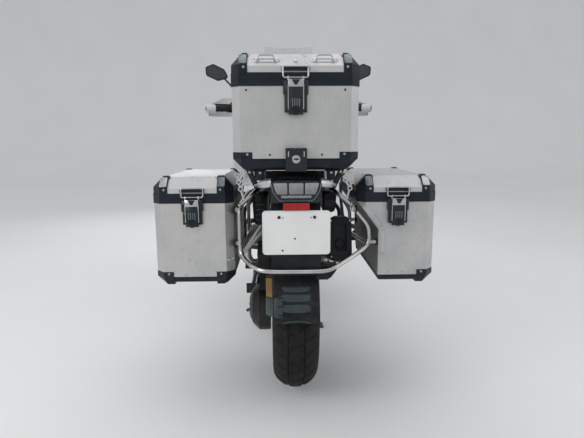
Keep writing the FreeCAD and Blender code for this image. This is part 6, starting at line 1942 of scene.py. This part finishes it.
@dataclass
class Cockpit(SubAssembly):
    """Mirror faces, bar ends, grip ribs, instrument display and lamp bowls."""

    mirror: tuple[Pair, ...] = (
        (344, 1366), (408, 1349), (472, 1378), (476, 1424), (430, 1442), (368, 1412),
    )
    mirror_rear: float = 940.2
    mirror_bend: float = 15.0
    fog_lamp: Triple = (262.0, 1172.0, 762.0)
    headlamp: Triple = (58.0, 1386.0, 1008.0)
    grip_rib_count: int = 9

    def build(self) -> None:
        """Adds the parts."""
        self.mirror_faces()
        self.bar_parts()
        self.display()
        self.lamps()

    def mirror_faces(self) -> None:
        """Adds a mirror face behind each mirror housing, drawn in from its outline."""
        corners = np.array([(side, 0, height) for side, height in self.mirror], float)
        middle = corners.mean(axis=0)
        before, after = np.roll(corners, 1, axis=0) - corners, np.roll(corners, -1, axis=0) - corners
        start = corners + before / np.linalg.norm(before, axis=1)[:, None] * self.mirror_bend
        end = corners + after / np.linalg.norm(after, axis=1)[:, None] * self.mirror_bend
        t = np.linspace(0, 1, 7)[None, :-1, None]
        bends = (1 - t) ** 2 * start[:, None] + 2 * t * (1 - t) * corners[:, None] + t**2 * end[:, None]
        loop = (bends.reshape(-1, 3) - middle)[:, ::2] * 0.90 / 1000
        face = plate(at(middle[0], self.mirror_rear, middle[2]), RIGHT, UP, loop, 0.0012, 0.0004)
        self.piece("mirror_faces", face.both(), "mirror", "chrome_tube", Body.STEERING)

    def bar_parts(self) -> None:
        """Adds grip ribs and the dark screw in the middle of each bar-end weight."""
        inner = on_fork(240, 1252 + 0.75 * 130, -0.4 * 136)
        outer = on_fork(460, 1382, -136)
        rib = [(-1.4, 16.6), (-0.7, 17.8), (0.7, 17.8), (1.4, 16.6)]
        ribs = [lathe(rib, inner + (outer - inner) * (0.56 + 0.028 * index), outer - inner, 22)
                for index in range(self.grip_rib_count)]
        self.piece("grip_ribs", joined(ribs).both(), "rubber", "grip_rubber", Body.STEERING)
        screw = [(10.8, 13.0), (11.8, 12.6), (12.2, 11.0), (11.6, 6.0), (11.4, 0.2)]
        cap = lathe(screw, outer, outer - inner, 24)
        self.piece("bar_end_screws", cap.both(), "cast_black", "grip_rubber", Body.STEERING)

    def display(self) -> None:
        """Adds the blank display glass in the instrument panel."""
        tilt = np.array([0.0, -24.0, 72.0])
        tilt /= np.linalg.norm(tilt)
        face = plate(at(0, 1137.2, 1228), RIGHT, tilt, rounded_box(0.070, 0.030, 0.006, 5), 0.0016, 0.0006)
        self.piece("display_glass", face, "latch", "black_plastic")

    def lamps(self) -> None:
        """Adds the lamps' bowls as turned parabolas, and the headlamps' bulbs and rims."""
        depth = np.linspace(0, 1, 8)
        bowl = [(6.0 - 10 * (1 - d**2), 29 * max(d, 0.02)) for d in depth] + [(7.2, 30.5), (5.0, 31.0)]
        made = lathe(bowl, at(*self.fog_lamp), AHEAD, 28)
        self.piece("fog_lamp_bowls", made.both(), "chrome", "chrome_tube")
        side, ahead, height = self.headlamp
        deep = [(-32 * (1 - d**2), 43 * max(d, 0.03)) for d in depth] + [(1.0, 45.5), (-2.0, 46.0)]
        bulb = [(-26, 5.0), (-8, 5.0), (-5, 6.5), (2, 6.5), (4, 4.0), (4, 0.2)]
        bowl_and_bulb = lathe(deep, at(side, ahead, height), AHEAD, 36)
        bowl_and_bulb += lathe(bulb, at(side, ahead - 4, height), AHEAD, 20)
        self.piece("headlamp_bowls", bowl_and_bulb.both(), "chrome", "chrome_tube")
        rim = washer(at(side, ahead + 5, height), AHEAD, 47.5, 53.0, 4.5)
        self.piece("headlamp_rims", rim.both(), "trim", "black_plastic")


@dataclass
class Fasteners(SubAssembly):
    """Bolt heads on the engine's covers, the final drive and the front discs."""

    cover_side: float = 293.0
    cylinder_ahead: float = 800.0
    cylinder_stagger: float = 18.0
    cylinder_height: float = 480.0
    pivot_side: float = 131.2
    pivot_ahead: float = 520.0
    hub: Triple = (-180.2, 0.0, REAR_WHEEL_RADIUS)
    disc: Triple = (74.6, WHEELBASE, FRONT_WHEEL_RADIUS)

    def build(self) -> None:
        """Adds the bolts: four on each cylinder's cover, four by each pivot, and rings on drive and discs."""
        heads = []
        for side in SIGNS:
            centre = self.cylinder_ahead + side * self.cylinder_stagger
            for ahead, height in ((-56, 46), (56, 46), (-56, -46), (56, -46)):
                place = at(side * self.cover_side, centre + ahead, self.cylinder_height + height)
                heads.append(bolt(place, RIGHT * side, 5.0, 4.0))
            for ahead, height in ((-24, 470), (24, 470), (-30, 540), (40, 590)):
                place = at(side * self.pivot_side, self.pivot_ahead + ahead, height)
                heads.append(bolt(place, RIGHT * side, 6.0, 4.0))
        self.piece("engine_bolts", joined(heads), "bolt", "engine_alloy")
        drive = self.ring(self.hub, -RIGHT, 5, 0.030, 4.4, 3.5)
        self.piece("drive_bolts", drive, "bolt", "dark_alloy")
        buttons = self.ring(self.disc, RIGHT, 6, 0.046, 4.6, 2.6)
        self.piece("disc_bolts", buttons.both(), "bolt", "disc_steel", Body.FRONT_WHEEL)

    @staticmethod
    def ring(
        place: Triple, axis: Array, count: int, reach: float, radius: float, rise: float
    ) -> Surface:
        """Makes bolts in a ring that faces left or right.

        Args:
            place: Side, way ahead and height of its middle, in millimetres.
            axis: Direction that the heads stand out.
            count: How many bolts.
            reach: Radius of the ring in metres.
            radius: Head radius in millimetres.
            rise: Head height in millimetres.

        Returns:
            The joined surface.
        """
        ring = circle(reach, count)
        places = at(*place) + ring[:, :1] * AHEAD + ring[:, 1:] * UP
        return joined([bolt(middle, axis, radius, rise) for middle in places])


# Light, floor and camera


@dataclass
class Studio:
    """Plain floor with a curved backdrop, soft lamps and the camera; lens and sensor in millimetres."""

    reach: float = 60.0
    bend_start: float = 9.0
    bend: float = 5.0
    wall_top: float = 12.0
    aim: Triple = (0.0, -0.2, 0.7)
    lens: float = 28.73
    sensor: float = 36.0
    camera_place: Triple = (-0.05, -2.585, 1.01)
    pitch: float = 9.6
    yaw: float = 1.4
    roll: float = 0.3

    def build(self) -> None:
        """Adds floor, lamps, world and camera."""
        self.floor()
        self.lamps()
        self.world()
        self.camera()

    def floor(self) -> None:
        """Adds a floor that rises into a backdrop: flat, then a quarter circle, then upright."""
        turn = np.linspace(0, math.pi / 2, 16)
        ahead = np.concatenate([[-self.reach], self.bend_start + self.bend * np.sin(turn),
                                [self.bend_start + self.bend]])
        height = np.concatenate([[0.0], self.bend - self.bend * np.cos(turn), [self.wall_top]])
        side = np.linspace(-self.reach, self.reach, 3)
        points = np.stack(np.broadcast_arrays(side[None, :], ahead[:, None], height[:, None]), axis=2)
        surface = grid(points, wrap_columns=False)
        mesh = bpy.data.meshes.new("studio_floor")
        mesh.from_pydata(surface.vertices.tolist(), [], surface.quads.tolist())
        mesh.polygons.foreach_set("use_smooth", np.ones(len(mesh.polygons), bool))
        shader = Shader("studio_floor")
        tone = shader.ramp(shader.noise(0.8, 4), 0.3, 0.7)
        mesh.materials.append(shader.surface({
            "Base Color": shader.mixed(tone, (0.86, 0.86, 0.855), (0.83, 0.83, 0.825)), "Roughness": 0.85,
            "Specular IOR Level": 0.2,
        }))
        made = bpy.data.objects.new("studio_floor", mesh)
        bpy.context.scene.collection.objects.link(made)

    def lamps(self) -> None:
        """Adds broad soft lamps: overhead, behind on the left, on the right, and ahead on the left."""
        # Name, place and size in metres, and power in watts
        for name, place, size, power in (
            ("overhead", (0.2, -0.4, 3.8), 3.0, 20.0),
            ("left_key", (-3.0, -3.0, 2.4), 2.0, 44.0),
            ("right_fill", (3.4, -1.8, 1.6), 2.4, 14.0),
            ("front_rim", (-1.2, 3.6, 2.6), 2.4, 24.0),
        ):
            data = bpy.data.lights.new(name, "AREA")
            data.size = size
            data.energy = power
            lamp = bpy.data.objects.new(name, data)
            lamp.location = place
            lamp.rotation_euler = (Vector(self.aim) - Vector(place)).to_track_quat("-Z", "Y").to_euler()
            bpy.context.scene.collection.objects.link(lamp)

    def world(self) -> None:
        """Lights all round with a pale grey, and shows a paler one to the camera."""
        world = bpy.data.worlds.new("studio")
        world.use_nodes = True
        shader = Shader("studio_sky", world.node_tree)
        seen = shader.node("ShaderNodeLightPath", output="Is Camera Ray")
        sky = shader.mixed(seen, (0.80, 0.82, 0.85), (0.84, 0.845, 0.85))
        light = shader.node("ShaderNodeBackground", {}, {"Color": sky, "Strength": seen * 0.25 + 0.75})
        ending = world.node_tree.nodes.new("ShaderNodeOutputWorld")
        world.node_tree.links.new(light.link, ending.inputs["Surface"])
        bpy.context.scene.world = world
        bpy.context.scene.view_settings.view_transform = "Standard"

    def camera(self) -> None:
        """Adds the camera where the photograph's own one stood."""
        data = bpy.data.cameras.new("camera")
        data.lens = self.lens
        data.sensor_width = self.sensor
        camera = bpy.data.objects.new("camera", data)
        camera.location = self.camera_place
        camera.rotation_mode = "XYZ"
        camera.rotation_euler = (
            math.radians(90 - self.pitch), math.radians(self.roll), math.radians(-self.yaw)
        )
        bpy.context.scene.collection.objects.link(camera)
        bpy.context.scene.camera = camera


def sub_assemblies() -> list[SubAssembly]:
    """Lists the sub-assemblies in building order.

    Returns:
        One of each, with the sizes that differ between like ones.
    """
    top_case = CaseSizes(
        ends=(-310, 50), floor=918, base=33, joint=1201, rim=21, lip=20, bevel=41, latch_half=40,
        latch_drop=83, corner=64, corner_top=972, corner_low=914,
    )
    pannier = CaseSizes(
        ends=(-250, 250), floor=517, base=21, joint=815, rim=17, lip=17, bevel=38, latch_half=37,
        latch_drop=72, corner=62, corner_top=556, corner_low=508,
    )
    cases = (
        CaseDetail("top_case", Body.TOP_LID, top_case, sides=(-206, 206), foot_sides=(-206, 206),
                   rivets=((-158, 1168), (158, 1168), (-85, 963), (85, 963))),
        CaseDetail("left_pannier", Body.LEFT_LID, pannier, sides=(-490, -216), foot_sides=(-490, -216),
                   rivets=((-387, 546), (-327, 546))),
        CaseDetail("right_pannier", Body.RIGHT_LID, pannier, sides=(216, 490), foot_sides=(290, 490),
                   rivets=((326, 548), (378, 548))),
    )
    return [
        Tyre("rear_tyre", "rear_tread", Body.REAR_WHEEL, ahead=0, height=REAR_WHEEL_RADIUS, radius=317.8,
             half_width=86, bead_radius=218, bead_half=64, crown_drop=40),
        Tyre("front_tyre", "front_tread", Body.FRONT_WHEEL, ahead=WHEELBASE, height=FRONT_WHEEL_RADIUS,
             radius=324.8, half_width=60, bead_radius=243, bead_half=36, crown_drop=26, blocks=38),
        Suspension(
            rear=Spring(foot=(0, 452, 513), top=(0, 470, 788), coil_radius=30),
            front=Spring(foot=(0, 1118, 606), top=(0, 1082, 928), coil_radius=27),
        ),
        # Way ahead, half width and top of each row
        Seat("rider_seat", ((352, 140, 890), (470, 150, 880), (600, 130, 884), (728, 92, 902)), base=814.5),
        Seat("pillion_seat", ((64, 118, 925), (200, 126, 922), (338, 134, 915)), base=857.0),
        Luggage(cases),
        Tail(),
        Racks(),
        CarrierDetail(),
        ExhaustDetail(),
        Cockpit(),
        Fasteners(),
    ]


def main() -> None:
    """Loads the frame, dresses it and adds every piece."""
    logging.basicConfig(level=logging.INFO, format="%(name)s %(message)s")
    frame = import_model()
    Studio().build()
    finishes = Finishes()
    CadFinishes().dress(frame["nodes"], finishes)
    SubAssembly.finishes = finishes
    for part in sub_assemblies():
        part.build()
        LOG.info("built %s", type(part).__name__)


if __name__ == "__main__":
    main()
